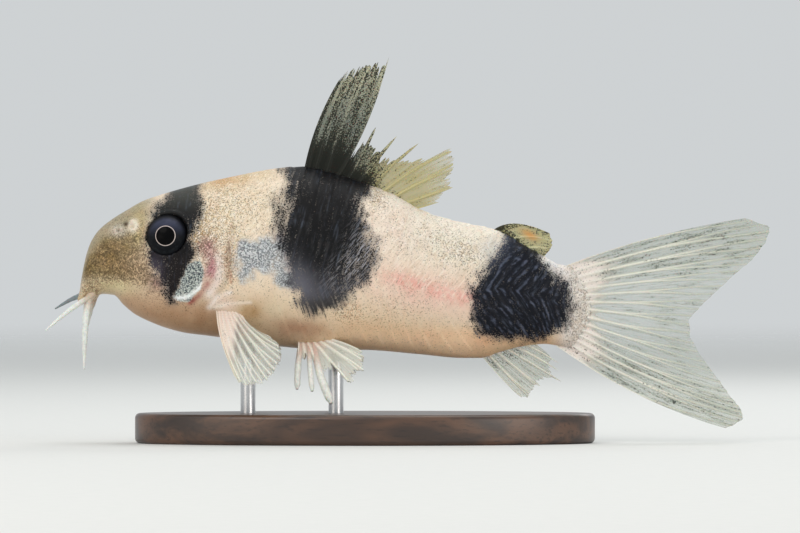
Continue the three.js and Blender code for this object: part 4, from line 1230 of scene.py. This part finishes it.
# %% Base and rods
BASE_HALF = np.array([23.0, 11.0])
BASE_TOP = 2.3
BASE_FOOT = -0.7
BASE_X = 28.5
BASE_SIDES = 160
EDGE_ROUND = 0.5
ROD_RADIUS = 0.75
ROD_SIDES = 48
turn = np.arange(BASE_SIDES) / BASE_SIDES * 2 * np.pi
arc = np.linspace(0, np.pi / 2, 7)
profile = [(EDGE_ROUND, BASE_FOOT)]
profile += [(EDGE_ROUND * (1 - math.sin(a)), BASE_FOOT + EDGE_ROUND * (1 - math.cos(a))) for a in arc]
profile += [(EDGE_ROUND * (1 - math.cos(a)), BASE_TOP - EDGE_ROUND * (1 - math.sin(a))) for a in arc]
profile += [(inset, BASE_TOP) for inset in (1, 3, 6)]
rings = []
for inset, z in profile:
    long_half, short_half = BASE_HALF - inset
    rings.append(np.stack([BASE_X + long_half * np.cos(turn), short_half * np.sin(turn), z + 0 * turn], -1))
base = loft("base_oval", rings)
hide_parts("stand_base")

rods = []
for name, x in (("front", 16.8), ("rear", 25.6)):
    path = np.array([(x, 0, BASE_TOP - 0.3), (x, 0, BASE_TOP), (x, 0, 6), (x, 0, float(belly(x)) + 0.8)])
    rods.append(loft(f"rod_{name}", round_rings(path, [ROD_RADIUS] * len(path), ROD_SIDES)))
    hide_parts(f"stand_rod_{name}")

# %% [markdown]
# ## Walnut and steel
# The walnut has a satin lacquer, so its highlights are broad and soft, and its open pores break them up. The
# figure and the pores are stretched along the base as grain is. The rods are polished steel with fine lines
# along them, which draw their highlight out into a thin bright strip.

# %% Stained walnut
WOOD_FIGURE = 2.2
WOOD_PORE = 0.25
GRAIN_STRETCH = (0.12, 1.0, 1.0)
walnut, add = new_material("stained_walnut_satin_lacquer")
along_grain = add("VectorMath", add("TexCoord", out="Object"), GRAIN_STRETCH, **TIMES)
figure = add("TexNoise", Vector=along_grain, Scale=per_mm(WOOD_FIGURE), Detail=4.0, Distortion=0.8)
pores = add("TexNoise", Vector=along_grain, Scale=per_mm(WOOD_PORE), Detail=2.0)
figure_here = add("MapRange", figure, 0.35, 0.68, **SOFTLY)
pore_here = add("MapRange", pores, 0.55, 0.7, 0.0, 0.5, **SOFTLY)
wood_tone = add("Mix", figure_here, rgba("#2f1f16"), rgba("#5a3d2a"), **TINTS)
wood_tone = add("Mix", pore_here, wood_tone, rgba("#1c120c"), **TINTS)
open_pores = add("Bump", Strength=0.2, Distance=0.05 * MM, Height=pores)
lacquer = add(
    "BsdfPrincipled", Base_Color=wood_tone, Roughness=0.42, IOR=1.5, Coat_Weight=0.4, Coat_Roughness=0.25,
    Normal=open_pores,
)
add("OutputMaterial", lacquer)
base.data.materials.append(walnut)
print("nodes in the walnut:", len(walnut.node_tree.nodes))

# %% Polished steel
POLISH_LINE = 0.12
ROD_STRETCH = (1.0, 1.0, 0.05)
steel, add = new_material("polished_stainless_steel")
along_rod = add("VectorMath", add("TexCoord", out="Object"), ROD_STRETCH, **TIMES)
polish = add("TexNoise", Vector=along_rod, Scale=per_mm(POLISH_LINE), Detail=2.0)
roughness = add("MapRange", polish, 0.3, 0.7, 0.18, 0.34, **SOFTLY)
metal = add("BsdfPrincipled", Base_Color=rgba("#c6c7c9"), Metallic=1.0, Roughness=roughness)
add("OutputMaterial", metal)
for rod in rods:
    rod.data.materials.append(steel)
print("nodes in the steel:", len(steel.node_tree.nodes))

# %% [markdown]
# ## Floor, light and camera
# A pale matt table carries the stand, and its board takes soft shadows without a shine. It could curve up
# into a wall, but a wall would stand in the way of a look from behind, so the table is a wide disc that
# fades out into the pale room instead. Large soft lights wrap round the fish as daylight through water does.
# The camera looks level at the fish's left side through a very long lens, and its frame is 80 mm wide at the
# fish.

# %% Pale table
TABLE_RADIUS = 3.0
FADE_START = 0.12  # where the table begins to fade into the room, in metres from its middle
PAPER_FIBRE = 1.5
disc = bmesh.new()
bmesh.ops.create_circle(disc, cap_ends=True, radius=TABLE_RADIUS, segments=96)
table_mesh = bpy.data.meshes.new("pale_table")
disc.to_mesh(table_mesh)
disc.free()
table = bpy.data.objects.new("pale_table", table_mesh)
bpy.context.scene.collection.objects.link(table)
paper, add = new_material("matt_paper_board")
on_board = add("TexCoord", out="Object")
fibre = add("TexNoise", Vector=on_board, Scale=per_mm(PAPER_FIBRE), Detail=3.0)
paper_tone = add("Mix", fibre, rgba("#d9dad7"), rgba("#e0e0dd"), **TINTS)
sheet = add("BsdfPrincipled", Base_Color=paper_tone, Roughness=0.8, Specular_IOR_Level=0.2)
from_middle = add("VectorMath", on_board, operation="LENGTH")
faded = add("MapRange", from_middle, FADE_START, TABLE_RADIUS * 0.5, **SOFTLY)
add("OutputMaterial", add("MixShader", faded, sheet, add("BsdfTransparent")))
table.data.materials.append(paper)
print("table", 2 * TABLE_RADIUS, "m wide")

# %% Soft lights
FISH_MIDDLE = np.array([0.0, 0.0, 0.018])
LAMPS = [  # name, place and size in metres, power in watts, tint
    ("key", (-0.22, -0.34, 0.36), 0.3, 0.81, "#fffaf4"),
    ("fill", (0.34, -0.3, 0.14), 0.34, 0.25, "#f2f7ff"),
    ("top", (0.05, 0.08, 0.42), 0.3, 0.5, "#ffffff"),
    ("rim", (0.2, 0.3, 0.25), 0.2, 0.3, "#ffffff"),
    ("bounce_front", (-0.26, -0.28, 0.03), 0.2, 0.15, "#fff1e2"),
    ("bounce_rear", (0.24, -0.26, 0.0), 0.2, 0.28, "#fff1e2"),
]
for name, place, size, power, glow_tint in LAMPS:
    light = bpy.data.lights.new(name, "AREA")
    light.shape = "DISK"
    light.size, light.energy, light.color = size, power, colour(glow_tint)
    lamp = bpy.data.objects.new(name, light)
    lamp.location = place
    lamp.rotation_euler = Vector(FISH_MIDDLE - place).to_track_quat("-Z", "Y").to_euler()
    bpy.context.scene.collection.objects.link(lamp)
print("lamps:", len(LAMPS))

# %% Pale room
world = bpy.data.worlds.new("soft_room")
world.use_nodes = True
room = world.node_tree.nodes["Background"].inputs
room["Color"].default_value = rgba("#e6eaec")
room["Strength"].default_value = 0.78
bpy.context.scene.world = world
bpy.context.scene.view_settings.view_transform = "Standard"
print("room light:", round(room["Strength"].default_value, 2))

# %% Camera
FRAME_WIDTH = 0.080  # width of the picture at the fish
LENS = 300
lens = bpy.data.cameras.new("long_lens")
lens.lens = LENS
lens.sensor_width = 36
lens.clip_start = 0.01
stand_off = FRAME_WIDTH * LENS / lens.sensor_width
camera = bpy.data.objects.new("long_lens", lens)
camera.location = (-0.00095, -stand_off, 0.01765)
camera.rotation_euler = (math.pi / 2, 0, 0)
bpy.context.scene.collection.objects.link(camera)
bpy.context.scene.camera = camera
print("camera", round(stand_off, 3), "m from the fish")

# %% [markdown]
# ## Finish
# The dressed fish has to keep the size of the solids.

# %% Update the scene
bpy.context.view_layer.update()
